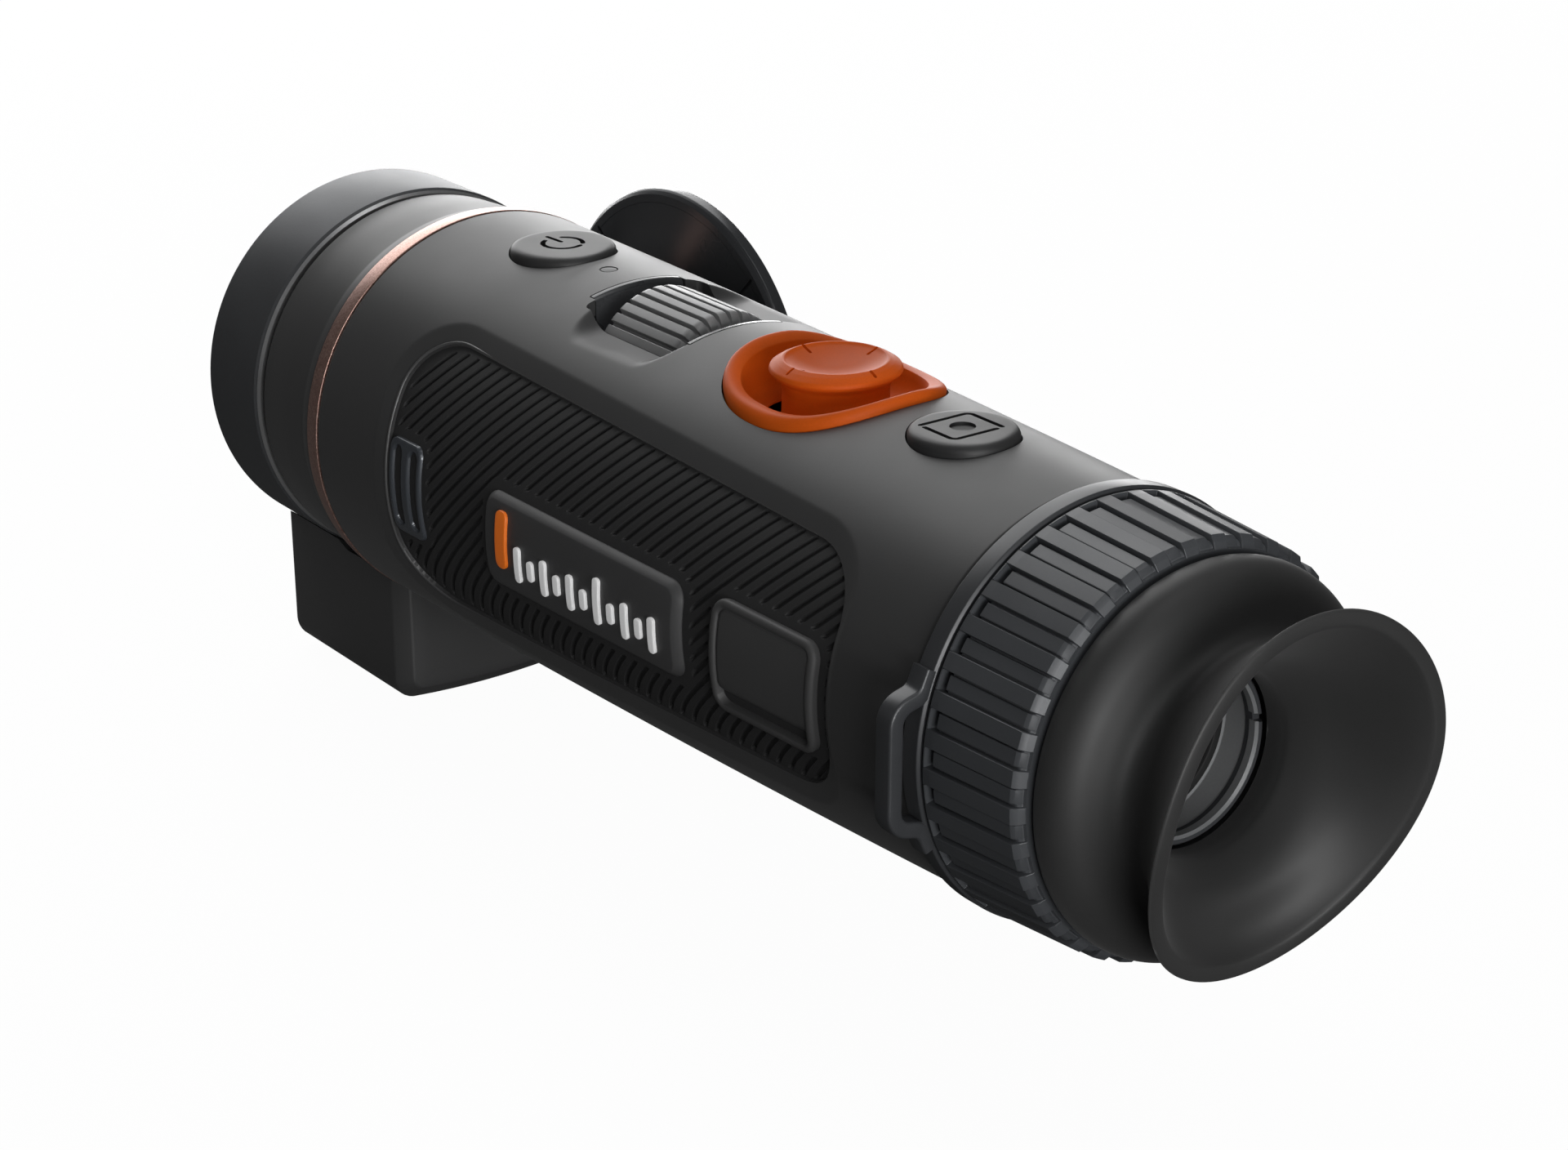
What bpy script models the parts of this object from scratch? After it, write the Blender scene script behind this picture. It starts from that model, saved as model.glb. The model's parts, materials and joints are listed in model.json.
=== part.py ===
"""Handheld thermal monocular.

The optical axis is X: objective at -X (front), eyepiece at +X (rear), +Z up. The left side,
with the nameplate and the port cover, faces -Y; the open lens cap is parked on the right.
Lengths are millimetres in a design frame whose X axis is the optical axis and whose x = 0 is
the front edge of the main casing. Objects are placed in metres, with the centre of the flat
tripod pad under the casing as the origin.
A span is a (low, high) pair; along X that is (front, rear).
"""
import cmath
import math

import bmesh
import bpy
from mathutils import Matrix, Vector

SCALE = 0.001                    # metres per millimetre
LEFT, RIGHT = -1, 1              # signs of Y

# ---------------------------------------------------------------- driving dimensions
FIT = 0.35                       # gap between neighbouring pieces
CHAMFER = 0.5                    # edge break on the bezel, focus wheel and lens cap
CORE, CLEAR = 5.0, 40.0          # cutting tools run from inside the casing to well outside

CASE_LENGTH = 126.0
CASE_FRONT_RADIUS, CASE_REAR_RADIUS = 28.0, 25.1
CASE_BULGE = 0.55                # added radius at mid length
CASE_WALL = 2.3
POCKET_DEPTH = 1.2               # side panel pockets
POCKET_SEAT = FIT - POCKET_DEPTH  # inner face of the pieces in the pockets, from the surface

PAD_X, PAD_HALF_WIDTH, PAD_BOTTOM = (50.0, 85.0), 7.0, -28.0
TRIPOD_X = 60.0                  # threaded insert
ORIGIN = (sum(PAD_X) / 2, 0.0, PAD_BOTTOM)

BEZEL_X, BEZEL_RADIUS = (-33.5, -18.9), 26.8
COLLAR_X = (-16.9, -2.8)
ACCENT_X = (-2.5, -0.3)

RANGER_X = (-33.5, -2.2)         # rangefinder block
RANGER_HALF_WIDTH, RANGER_Z = 15.5, (-43.2, -15.0)
RANGER_LENS_Y, RANGER_LENS_Z = 7.2, -35.0

GEAR_MODULE, PRESSURE_ANGLE = 0.75, math.radians(20)
PINION_TEETH, RING_TEETH = 16, 32
TOOTH_TIP, TOOTH_ROOT = 0.55, 0.8  # above and below the pitch circle
GEAR_BACKLASH = 0.10
GEAR_X = (30.5, 35.5)
WHEEL_Z = GEAR_MODULE * (PINION_TEETH + RING_TEETH) / 2
WHEEL_X, WHEEL_RADIUS = (42.0, 57.6), 10.0
WHEEL_AXIS = (0.0, 0.0, WHEEL_Z)
AXLE_RADIUS = 1.6
FRAME_X, FRAME_HALF_WIDTH = (38.65, 60.95), 13.25
FOCUS_CELL_PIVOT = (28.5, 0.0, 0.0)

BATTERY_AXIS = (0.0, 0.0, -11.5)
POWER_AT, CAMERA_AT = (20.2, -0.1), (105.3, -0.2)  # button centres (x, y)
LIGHT_PIPE_X = 31.5

STICK_X = 81.0
STICK_AXIS = (STICK_X, 0.0, 0.0)
STICK_PIVOT = (STICK_X, 0.0, 14.0)
STICK_TOP = 28.3

STRAP_X = (126.4, 129.2)
DIOPTER_X, DIOPTER_RIBS = (129.5, 144.3), 36
EYE_PIVOT = (130.0, 0.0, 0.0)

CAP_RADIUS, CAP_THICKNESS = 26.4, 2.3
CAP_TILT = math.radians(3.3)     # how far the parked cap opens away from the casing
# Centre of the cap's outer face, in the XY plane as the complex number x + iy.
CAP_PARKED, CAP_CLOSED = complex(3.0, 29.0), complex(-36.1, 0.0)

# ---------------------------------------------------------------- empty scene and materials
for old in list(bpy.data.objects):
    bpy.data.objects.remove(old, do_unlink=True)
scene = bpy.context.scene


def material(name, colour, roughness, metallic=0.0, transmission=0.0):
    mat = bpy.data.materials.new(name)
    mat.use_nodes = True
    inputs = mat.node_tree.nodes["Principled BSDF"].inputs
    inputs["Base Color"].default_value = (*colour, 1.0)
    inputs["Roughness"].default_value = roughness
    inputs["Metallic"].default_value = metallic
    inputs["Transmission Weight"].default_value = transmission
    return mat


SOFT = material("soft_touch_black", (0.030, 0.030, 0.032), roughness=0.55)
DARK = material("dark_satin_metal", (0.055, 0.057, 0.062), roughness=0.38, metallic=0.85)
COPPER = material("copper_accent", (0.62, 0.36, 0.29), roughness=0.32, metallic=0.95)
RUBBER = material("rubber_black", (0.022, 0.022, 0.024), roughness=0.75)
ORANGE = material("orange_plastic", (0.60, 0.14, 0.035), roughness=0.45)
GREY = material("semi_gloss_grey", (0.05, 0.055, 0.062), roughness=0.35)
PLASTIC = material("dark_plastic", (0.035, 0.036, 0.038), roughness=0.5)
BOARD = material("board_green", (0.02, 0.10, 0.05), roughness=0.5)
STEEL = material("bright_steel", (0.55, 0.56, 0.58), roughness=0.28, metallic=1.0)
BRASS = material("brass", (0.60, 0.44, 0.18), roughness=0.32, metallic=1.0)
GLASS = material("coated_glass", (0.05, 0.07, 0.09), roughness=0.05, transmission=0.6)
GERMANIUM = material("germanium", (0.16, 0.14, 0.17), roughness=0.12, metallic=0.9)
SLEEVE = material("battery_sleeve", (0.03, 0.10, 0.25), roughness=0.4)


# ---------------------------------------------------------------- solids
def about(centre, half):
    return (centre - half, centre + half)


def middle(span):
    return sum(span) / 2


def place(axis, along, first, second):
    """Point (x, y, z) from its distance along an axis and its two other coordinates."""
    point = [first, second]
    point.insert("XYZ".index(axis), along)
    return point


def from_points(name, points, faces, mat=None, pivot=(0, 0, 0)):
    """One object from millimetre points, normals outward; its origin goes to pivot."""
    pivot = Vector(pivot)
    mesh = bpy.data.meshes.new(name)
    mesh.from_pydata([(Vector(point) - pivot) * SCALE for point in points], [], faces)
    bm = bmesh.new()
    bm.from_mesh(mesh)
    bmesh.ops.recalc_face_normals(bm, faces=bm.faces)
    if bm.calc_volume(signed=True) < 0:
        bmesh.ops.reverse_faces(bm, faces=bm.faces)
    bm.to_mesh(mesh)
    bm.free()
    obj = bpy.data.objects.new(name, mesh)
    obj.location = (pivot - Vector(ORIGIN)) * SCALE
    if mat:
        mesh.materials.append(mat)
    scene.collection.objects.link(obj)
    return obj


def lathe(name, profile, seg, mat=None, axis="X", centre=(0, 0, 0), pivot=(0, 0, 0)):
    """Closed profile [(along, radius)] turned about an axis through centre."""
    points, rings = [], []
    for along, radius in profile:
        count = seg if radius else 1    # a profile point on the axis is a single vertex
        rings.append(range(len(points), len(points) + count))
        for i in range(count):
            angle = 2 * math.pi * i / seg
            local = place(axis, along, radius * math.cos(angle), radius * math.sin(angle))
            points.append([start + step for start, step in zip(centre, local)])
    faces = []
    for ring, other in zip(rings, rings[1:] + rings[:1]):
        for i in range(seg):
            corners = dict.fromkeys((
                ring[i % len(ring)], other[i % len(other)],
                other[(i + 1) % len(other)], ring[(i + 1) % len(ring)],
            ))
            if len(corners) > 2:
                faces.append(tuple(corners))
    return from_points(name, points, faces, mat, pivot)


def tube(name, span, inner, outer, seg, mat=None, **frame):
    low, high = span
    profile = [(low, inner), (low, outer), (high, outer), (high, inner)]
    return lathe(name, profile, seg, mat, **frame)


def rod(name, span, radius, seg, mat=None, **frame):
    return tube(name, span, 0.0, radius, seg, mat, **frame)


def prism(name, outline, span, mat=None, axis="Z", pivot=(0, 0, 0)):
    """Outline points are (y, z) for axis X, (x, z) for Y and (x, y) for Z."""
    points = [place(axis, along, *point) for along in span for point in outline]
    size = len(outline)
    faces = [tuple(range(size)), tuple(range(2 * size - 1, size - 1, -1))]
    for i in range(size):
        j = (i + 1) % size
        faces.append((i, j, size + j, size + i))
    return from_points(name, points, faces, mat, pivot)


def box(name, x, y, z, mat=None):
    outline = [(x[0], y[0]), (x[1], y[0]), (x[1], y[1]), (x[0], y[1])]
    return prism(name, outline, z, mat)


def cut(obj, tool, operation="DIFFERENCE"):
    """Boolean, baked into obj's own mesh; the tool is removed."""
    mod = obj.modifiers.new("bool", "BOOLEAN")
    mod.operation = operation
    mod.object = tool
    mod.solver = "EXACT"
    bpy.context.view_layer.update()
    graph = bpy.context.evaluated_depsgraph_get()
    mesh = bpy.data.meshes.new_from_object(obj.evaluated_get(graph))
    obj.modifiers.clear()
    old_mesh = obj.data
    obj.data = mesh
    if not mesh.materials:    # in case the baked mesh comes without its slots
        for mat in old_mesh.materials:
            mesh.materials.append(mat)
    mesh.name = obj.name
    bpy.data.meshes.remove(old_mesh)
    bpy.data.objects.remove(tool, do_unlink=True)
    return obj


def add(obj, tool):
    return cut(obj, tool, "UNION")


def common(obj, tool):
    return cut(obj, tool, "INTERSECT")


def top_tool(outline):
    return prism("tool", outline, (CORE, CLEAR))


def side_tool(outline, side=LEFT):
    return prism("tool", outline, sorted((side * CORE, side * CLEAR)), axis="Y")


# ---------------------------------------------------------------- casing surface
def case_radius(x):
    share = x / CASE_LENGTH
    taper = (CASE_REAR_RADIUS - CASE_FRONT_RADIUS) * share
    return CASE_FRONT_RADIUS + taper + CASE_BULGE * 4 * share * (1 - share)


def case_line(offset, steps):
    """Profile points along the casing at an offset from its surface."""
    stations = [CASE_LENGTH * i / steps for i in range(steps + 1)]
    return [(x, case_radius(x) + offset) for x in stations]


def case_shell(name, low, high, mat, steps, pivot=(0, 0, 0)):
    """Full-length shell between two offsets from the casing surface."""
    profile = case_line(high, steps) + case_line(low, steps)[::-1]
    return lathe(name, profile, 56, mat, pivot=pivot)


def side_patch(name, outline, low, high, mat=None, side=LEFT, pivot=(0, 0, 0)):
    """Patch of the casing surface between two offsets: outline in (x, z)."""
    return common(case_shell(name, low, high, mat, 6, pivot), side_tool(outline, side))


def top_plug(name, outline, bottom, high, mat, pivot=(0, 0, 0)):
    """Plug in the casing's top: outline in (x, y), from z = bottom to surface + high."""
    plug = prism(name, outline, (bottom, CLEAR), mat, pivot=pivot)
    profile = [(0.0, 0.0)] + case_line(high, 8) + [(CASE_LENGTH, 0.0)]
    return common(plug, lathe("tool", profile, 48))


# ---------------------------------------------------------------- outlines
def round_corners(corners, radius, steps=4):
    """Round four corners given counter-clockwise from the (+, +) one."""
    inward = ((-1, -1), (1, -1), (1, 1), (-1, 1))
    outline = []
    for quarter, ((x, y), (sign_x, sign_y)) in enumerate(zip(corners, inward)):
        for i in range(steps + 1):
            angle = math.radians(90 * quarter + 90 * i / steps)
            outline.append((x + sign_x * radius + radius * math.cos(angle),
                            y + sign_y * radius + radius * math.sin(angle)))
    return outline


def rounded(first, second, radius, steps=4):
    """Rectangle over two spans, with rounded corners."""
    (left, right), (low, high) = first, second
    corners = [(right, high), (left, high), (left, low), (right, low)]
    return round_corners(corners, radius, steps)


def side_outline(span, top, bottom, radius):
    """Rounded (x, z) outline; top and bottom are surface angles at its (front, rear)."""
    ends = [(1, top), (0, top), (0, bottom), (1, bottom)]
    corners = [(span[end], case_radius(span[end]) * math.sin(math.radians(angles[end])))
               for end, angles in ends]
    return round_corners(corners, radius)


def level_outline(span, angle, radius):
    """Side outline reaching the same surface angle above and below the axis."""
    return side_outline(span, (angle, angle), (-angle, -angle), radius)


def grow(outline, distance=FIT):
    """Offset a counter-clockwise outline outward."""
    grown = []
    for i, point in enumerate(outline):
        here = Vector(point)
        arriving = (here - Vector(outline[i - 1])).normalized()
        leaving = (Vector(outline[(i + 1) % len(outline)]) - here).normalized()
        total = arriving + leaving
        normal = Vector((total.y, -total.x)).normalized()
        miter = distance / max(0.5, normal.dot(Vector((arriving.y, -arriving.x))))
        grown.append((point[0] + normal.x * miter, point[1] + normal.y * miter))
    return grown


def disc(radius, seg, x):
    """Circle centred at (x, 0)."""
    angles = [2 * math.pi * i / seg for i in range(seg)]
    return [(x + radius * math.cos(angle), radius * math.sin(angle)) for angle in angles]


def egg(centre, radius, tip, direction, seg=40, width=0.6):
    """Circle with one soft corner of height tip pointing at direction degrees."""
    towards = math.radians(direction)
    outline = []
    for i in range(seg):
        angle = 2 * math.pi * i / seg
        away = math.atan2(math.sin(angle - towards), math.cos(angle - towards))
        reach = radius + tip * math.exp(-(away / width) ** 2)
        outline.append((centre[0] + reach * math.cos(angle),
                        centre[1] + reach * math.sin(angle)))
    return outline


def gear_outline(teeth, phase, centre_z):
    """Involute gear in (y, z) about (0, centre_z), one tooth centred at phase degrees."""
    pitch = GEAR_MODULE * teeth / 2
    tip, root = pitch + TOOTH_TIP, pitch - TOOTH_ROOT
    base = pitch * math.cos(PRESSURE_ANGLE)

    def involute(angle):
        return math.tan(angle) - angle

    half_tooth = (math.pi * GEAR_MODULE / 2 - GEAR_BACKLASH) / (2 * pitch)
    flank = []
    for i in range(4):
        radius = base + (tip - base) * i / 3
        roll = involute(math.acos(min(1.0, base / radius)))
        flank.append((radius, half_tooth + involute(PRESSURE_ANGLE) - roll))
    flank.insert(0, (root, flank[0][1]))
    tooth = [(radius, -angle) for radius, angle in flank] + flank[::-1]
    outline = []
    for k in range(teeth):
        centre = math.radians(phase) + 2 * math.pi * k / teeth
        for radius, angle in tooth:
            outline.append((radius * math.cos(centre + angle),
                            centre_z + radius * math.sin(centre + angle)))
    return outline


PANEL = side_outline((16.3, 111.0), (46.5, 41.0), (-35.0, -39.0), 7.0)
PLATE = level_outline((42.0, 84.0), 14.0, 2.5)
PORT = level_outline((90.3, 109.5), 16.0, 2.2)
ANCHOR = level_outline((17.8, 26.2), 14.0, 1.8)
POWER = egg(POWER_AT, 7.05, 0.55, -18.0)
CAMERA = egg(CAMERA_AT, 6.65, 0.55, -18.0)
STICK_BEZEL = egg((STICK_X + 0.3, 0.0), 13.5, 1.3, -6.0, seg=48, width=0.75)


# ---------------------------------------------------------------- main casing
def main_casing():
    casing = case_shell("main_casing", -CASE_WALL, 0.0, SOFT, 8)
    pad = prism("tool", rounded(PAD_X, about(0, PAD_HALF_WIDTH), 4.0), (PAD_BOTTOM, -24.4))
    add(casing, common(pad, tube("tool2", (30, 100), 24.9, CLEAR, 72)))
    for side in (LEFT, RIGHT):
        cut(casing, side_patch("tool", grow(PANEL), -POCKET_DEPTH, 4.0, side=side))
    frame_opening = rounded((FRAME_X[0] - FIT, FRAME_X[1] + FIT),
                            about(0, FRAME_HALF_WIDTH + FIT), 1.0, 2)
    light_pipe_hole = disc(1.45, 20, LIGHT_PIPE_X)
    for outline in (frame_opening, grow(STICK_BEZEL), grow(POWER), grow(CAMERA),
                    light_pipe_hole):
        cut(casing, top_tool(outline))
    # window behind the port cover
    cut(casing, side_tool(level_outline((93.0, 106.8), 10.0, 1.0)))
    # hole for the tripod insert and a smaller hole behind it
    for outline in (disc(4.2, 24, TRIPOD_X), disc(1.9, 16, 75.0)):
        cut(casing, prism("tool", outline, (-CLEAR, -20)))


def tripod_insert():
    tube("tripod_insert", (-27.9, -21.4), 2.9, 3.85, 24, BRASS,
         axis="Z", centre=(TRIPOD_X, 0.0, 0.0))


# ---------------------------------------------------------------- objective end
def objective_rings():
    front, rear = BEZEL_X
    edge = BEZEL_RADIUS - CHAMFER
    lathe("objective_bezel",
          [(front, 23.6), (front, edge), (front + CHAMFER, BEZEL_RADIUS),
           (rear - CHAMFER, BEZEL_RADIUS), (rear, edge), (rear, 23.4), (-28.8, 23.4)],
          64, DARK)
    tube("bezel_seal", (-18.5, -17.3), 24.6, 26.0, 64, RUBBER)
    # tapered rings: name, span, inner radius, outer radius at the front and rear, material
    for name, (front, rear), inner, front_radius, rear_radius, mat in (
        ("front_collar", COLLAR_X, 24.7, 26.8, 27.4, SOFT),
        ("accent_ring", ACCENT_X, 25.2, 27.4, 27.9, COPPER),
    ):
        lathe(name, [(front, inner), (front, front_radius), (rear, rear_radius), (rear, inner)],
              64, mat)


def objective_optics():
    lathe("objective_barrel",
          [(-26.0, 20.2), (-26.0, 23.0), (-3.0, 23.0), (24.0, 9.6), (36.8, 9.6), (36.8, 7.9),
           (22.5, 7.9), (-4.0, 20.2)],
          48, PLASTIC)
    lathe("objective_front_lens",
          [(-24.6, 0), (-24.4, 8.0), (-23.6, 14.0), (-22.2, 19.8), (-19.0, 19.8),
           (-19.6, 12.0), (-19.9, 0)],
          40, GERMANIUM)
    retainer = tube("front_lens_retainer", (-28.4, -26.4), 20.4, 23.0, 48, DARK)
    for z in (22, -22):    # slots at top and bottom
        cut(retainer, box("tool", x=(-29, -27.6), y=about(0, 1.2), z=about(z, 3)))


def rangefinder():
    """Block under the objective, with two lenses facing forward."""
    outline = rounded(about(0, RANGER_HALF_WIDTH), RANGER_Z, 3.5)
    housing = prism("rangefinder_housing", outline, RANGER_X, SOFT, "X")
    bm = bmesh.new()
    bm.from_mesh(housing.data)
    rear_edges = [edge for edge in bm.edges
                  if all(abs(v.co.x / SCALE - RANGER_X[1]) < 1e-3 for v in edge.verts)]
    bmesh.ops.bevel(bm, geom=rear_edges, offset=1.8 * SCALE, segments=1, affect="EDGES")
    bm.to_mesh(housing.data)
    bm.free()
    cut(housing, rod("tool", (-60, 30), 27.8, 96))    # clears the objective
    for name, y in (("rangefinder_emitter_lens", -RANGER_LENS_Y),
                    ("rangefinder_receiver_lens", RANGER_LENS_Y)):
        centre = (0, y, RANGER_LENS_Z)
        cut(housing, rod("tool", (-40, -22), 5.0, 24, centre=centre))
        lathe(name, [(-32.6, 0), (-32.2, 3.0), (-31.6, 4.6), (-29.5, 4.6), (-29.5, 0)],
              24, GLASS, centre=centre)


# ---------------------------------------------------------------- sides of the casing
def side_pieces():
    left_panel = side_patch("left_grip_panel", PANEL, POCKET_SEAT, 0.0, RUBBER)
    for outline in (PLATE, PORT, ANCHOR):
        cut(left_panel, side_tool(grow(outline)))
    side_patch("right_grip_panel", PANEL, POCKET_SEAT, 0.0, RUBBER, RIGHT)
    side_patch("nameplate", PLATE, POCKET_SEAT, 0.9, PLASTIC)
    anchor = side_patch("strap_anchor", ANCHOR, POCKET_SEAT, 0.55, GREY)
    for slot in ((19.4, 21.4), (23.2, 25.2)):
        cut(anchor, side_tool(rounded(slot, (-5.2, 5.4), 0.9, 3)))


def port_cover():
    """Cover whose origin lies at the middle of its top edge."""
    x, angle, height = 99.9, math.radians(16.0), 0.7
    radius = case_radius(x) + height
    pivot = (x, -radius * math.cos(angle), radius * math.sin(angle))
    side_patch("port_cover", PORT, POCKET_SEAT, height, RUBBER, pivot=pivot)


# ---------------------------------------------------------------- focus drive
def focus_wheel():
    hole = AXLE_RADIUS + FIT
    frame = top_plug("focus_wheel_frame", rounded(FRAME_X, about(0, FRAME_HALF_WIDTH), 0.8, 2),
                     9.5, 0.0, DARK)
    cut(frame, top_tool(rounded((40.7, 59.2), about(0, 11.3), 0.6, 2)))
    cut(frame, rod("tool", (30, 70), hole, 20, centre=WHEEL_AXIS))
    front, rear = WHEEL_X
    edge = WHEEL_RADIUS - CHAMFER
    pivot = (middle(WHEEL_X), 0, WHEEL_Z)
    lathe("focus_wheel",
          [(front, hole), (front, edge), (front + CHAMFER, WHEEL_RADIUS),
           (rear - CHAMFER, WHEEL_RADIUS), (rear, edge), (rear, hole)],
          48, GREY, centre=WHEEL_AXIS, pivot=pivot)
    rod("focus_axle", (29.0, 62.2), AXLE_RADIUS, 20, STEEL, centre=WHEEL_AXIS, pivot=pivot)


def focus_gears():
    # name, teeth, phase, height of the axis, bore radius, bore segments
    for name, teeth, phase, axis_z, bore, seg in (
        ("focus_pinion", PINION_TEETH, -90.0, WHEEL_Z, AXLE_RADIUS + FIT, 20),
        ("focus_ring_gear", RING_TEETH, 90.0 + 180.0 / RING_TEETH, 0.0, 10.05, 48),
    ):
        gear = prism(name, gear_outline(teeth, phase, axis_z), GEAR_X, BRASS, "X",
                     pivot=(middle(GEAR_X), 0, axis_z))
        cut(gear, rod("tool", (20, 40), bore, seg, centre=(0, 0, axis_z)))


def focus_lens():
    tube("focus_lens_cell", (25.0, 32.0), 6.0, 7.5, 32, PLASTIC, pivot=FOCUS_CELL_PIVOT)
    lathe("focus_lens", [(26.6, 0), (27.0, 5.6), (30.0, 5.6), (30.4, 0)], 32, GERMANIUM,
          pivot=FOCUS_CELL_PIVOT)


# ---------------------------------------------------------------- electronics
def plain_boxes():
    # name, x span, y span, z span, material
    for row in (
        ("usb_socket", (95.4, 104.4), (-23.4, -18.4), (-1.4, 2.0), STEEL),
        ("detector_package", (38.9, 40.4), (-6.0, 6.0), (-6.5, 5.5), STEEL),
        ("sensor_board", (40.8, 42.2), (-11.0, 11.0), (-11.0, 6.6), BOARD),
        ("main_board", (46.0, 108.0), (-17.5, 17.5), (0.0, 1.6), BOARD),
        ("processor_heat_spreader", (50.0, 64.0), (-7.0, 7.0), (2.0, 3.6), STEEL),
        ("display_panel", (110.4, 111.8), (-8.0, 8.0), (-6.5, 6.5), GLASS),
        ("power_board", (14.0, 26.5), (-7.5, 7.5), (18.6, 20.0), BOARD),
        ("button_board", (97.0, 113.5), (-8.0, 8.0), (15.8, 17.2), BOARD),
    ):
        box(*row)


def battery():
    rod("battery_cell", (44.0, 109.0), 9.25, 32, SLEEVE, centre=BATTERY_AXIS)
    section = [(-13.0, -18.4), (-8.0, -21.6), (8.0, -21.6), (13.0, -18.4), (13.0, -12.0),
               (-13.0, -12.0)]    # (y, z)
    cradle = prism("battery_cradle", section, (46.0, 107.0), PLASTIC, "X")
    cut(cradle, rod("tool", (30, 120), 9.65, 32, centre=BATTERY_AXIS))
    cut(cradle, prism("tool", disc(4.6, 24, TRIPOD_X), (-CLEAR, -10)))


def display_frame():
    frame = box("display_frame", x=(110.0, 113.6), y=about(0, 10.5), z=about(0, 9.0),
                mat=PLASTIC)
    cut(frame, box("tool", x=(105, 120), y=about(0, 8.4), z=about(0, 6.9)))


def buttons():
    top_plug("power_button", POWER, 24.6, 0.8, SOFT, pivot=(*POWER_AT, 26.0))
    top_plug("camera_button", CAMERA, 22.0, 1.0, SOFT, pivot=(*CAMERA_AT, 24.0))
    # upright rods: name, z span, radius, (x, y), material
    for name, span, radius, spot, mat in (
        ("power_switch", (20.4, 23.2), 2.4, POWER_AT, STEEL),
        ("camera_switch", (17.6, 20.6), 2.4, CAMERA_AT, STEEL),
        ("status_light_pipe", (25.4, 27.85), 1.1, (LIGHT_PIPE_X, 0), GLASS),
    ):
        rod(name, span, radius, 20, mat, axis="Z", centre=(*spot, 0))


# ---------------------------------------------------------------- thumb stick
def joystick_housing():
    bezel = top_plug("joystick_bezel", STICK_BEZEL, 19.0, 1.3, ORANGE)
    opening = [(10.0, 0), (10.0, 7.9), (21.6, 7.9), (23.2, 9.6), (26.2, 11.9), (CLEAR, 11.9),
               (CLEAR, 0)]    # (z, radius)
    cut(bezel, lathe("tool", opening, 40, axis="Z", centre=STICK_AXIS))
    base = box("joystick_base", x=about(STICK_X, 11), y=about(0, 11), z=(2.2, 17.2),
               mat=PLASTIC)
    cut(base, box("tool", x=about(STICK_X, 8.6), y=about(0, 8.6), z=(-5, 30)))
    cut(base, rod("tool", about(0, 30), 1.1, 16, axis="Y", centre=STICK_PIVOT))


def joystick_gimbal():
    """Frame that rocks about Y on two trunnions and carries the stem's X pin."""
    gimbal = prism("joystick_gimbal", rounded(about(STICK_X, 7.0), about(0, 7.0), 2.0, 2),
                   about(STICK_PIVOT[2], 1.5), STEEL, pivot=STICK_PIVOT)
    cut(gimbal, top_tool(rounded(about(STICK_X, 4.6), about(0, 4.6), 1.0, 2)))
    for trunnion in ((-10.4, -6.4), (6.4, 10.4)):
        add(gimbal, rod("tool", trunnion, 1.0, 16, axis="Y", centre=STICK_PIVOT))
    cut(gimbal, rod("tool", about(0, 12), 0.9, 16, centre=STICK_PIVOT))


def joystick_stick():
    stem = rod("joystick_stem", (8.5, 25.6), 2.0, 20, STEEL, axis="Z", centre=STICK_AXIS,
               pivot=STICK_PIVOT)
    add(stem, rod("tool", about(0, 6.4), 0.8, 16, centre=STICK_PIVOT))
    lathe("joystick_cap",
          [(20.4, 2.4), (20.4, 6.3), (26.2, 6.3), (26.6, 8.0), (27.8, 8.0), (STICK_TOP, 7.4),
           (STICK_TOP - 0.2, 6.2), (STICK_TOP - 0.8, 0.0), (26.5, 0.0), (26.5, 2.4)],
          36, ORANGE, "Z", STICK_AXIS, pivot=(STICK_X, 0, 24.0))


# ---------------------------------------------------------------- eyepiece end
def eyepiece():
    tube("rear_bulkhead", (118.2, 120.6), 13.4, 22.4, 48, PLASTIC)
    lathe("eyepiece_barrel",
          [(121.0, 13.2), (121.0, 22.4), (125.8, 22.4), (125.8, 21.4), (144.2, 21.4),
           (144.2, 16.6), (146.1, 16.6), (146.1, 13.2)],
          56, PLASTIC)
    lathe("eyepiece_cell",
          [(116.0, 9.9), (116.0, 12.7), (139.5, 12.7), (139.5, 10.5), (142.1, 10.5),
           (142.1, 9.9)],
          40, PLASTIC, pivot=EYE_PIVOT)
    lathe("eye_lens", [(131.5, 0), (132.0, 9.5), (137.2, 9.5), (138.0, 5.0), (138.3, 0)],
          32, GLASS, pivot=EYE_PIVOT)
    lathe("field_lens", [(118.0, 0), (118.6, 9.5), (122.4, 9.5), (123.0, 0)],
          32, GLASS, pivot=EYE_PIVOT)
    retainer = tube("eye_lens_retainer", (142.5, 144.3), 9.6, 10.6, 40, STEEL, pivot=EYE_PIVOT)
    for y in (-10, 10):    # slots at the left and right
        cut(retainer, box("tool", x=(143.4, 145), y=about(y, 1.5), z=about(0, 0.6)))


def strap_ring():
    """Ring with a slotted loop on the left."""
    ring = tube("strap_ring", STRAP_X, 21.8, 25.9, 64, GREY)
    loop = prism("tool", rounded((-30.0, -22.4), about(0, 8.0), 3.4),
                 (STRAP_X[0] + 0.1, STRAP_X[1] - 0.1), axis="X")
    cut(loop, rod("tool2", (100, 150), 24.0, 64))
    slot = rounded((-27.6, -24.6), about(0, 5.6), 1.4)
    cut(loop, prism("tool2", slot, (100, 150), axis="X"))
    add(ring, loop)


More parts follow.
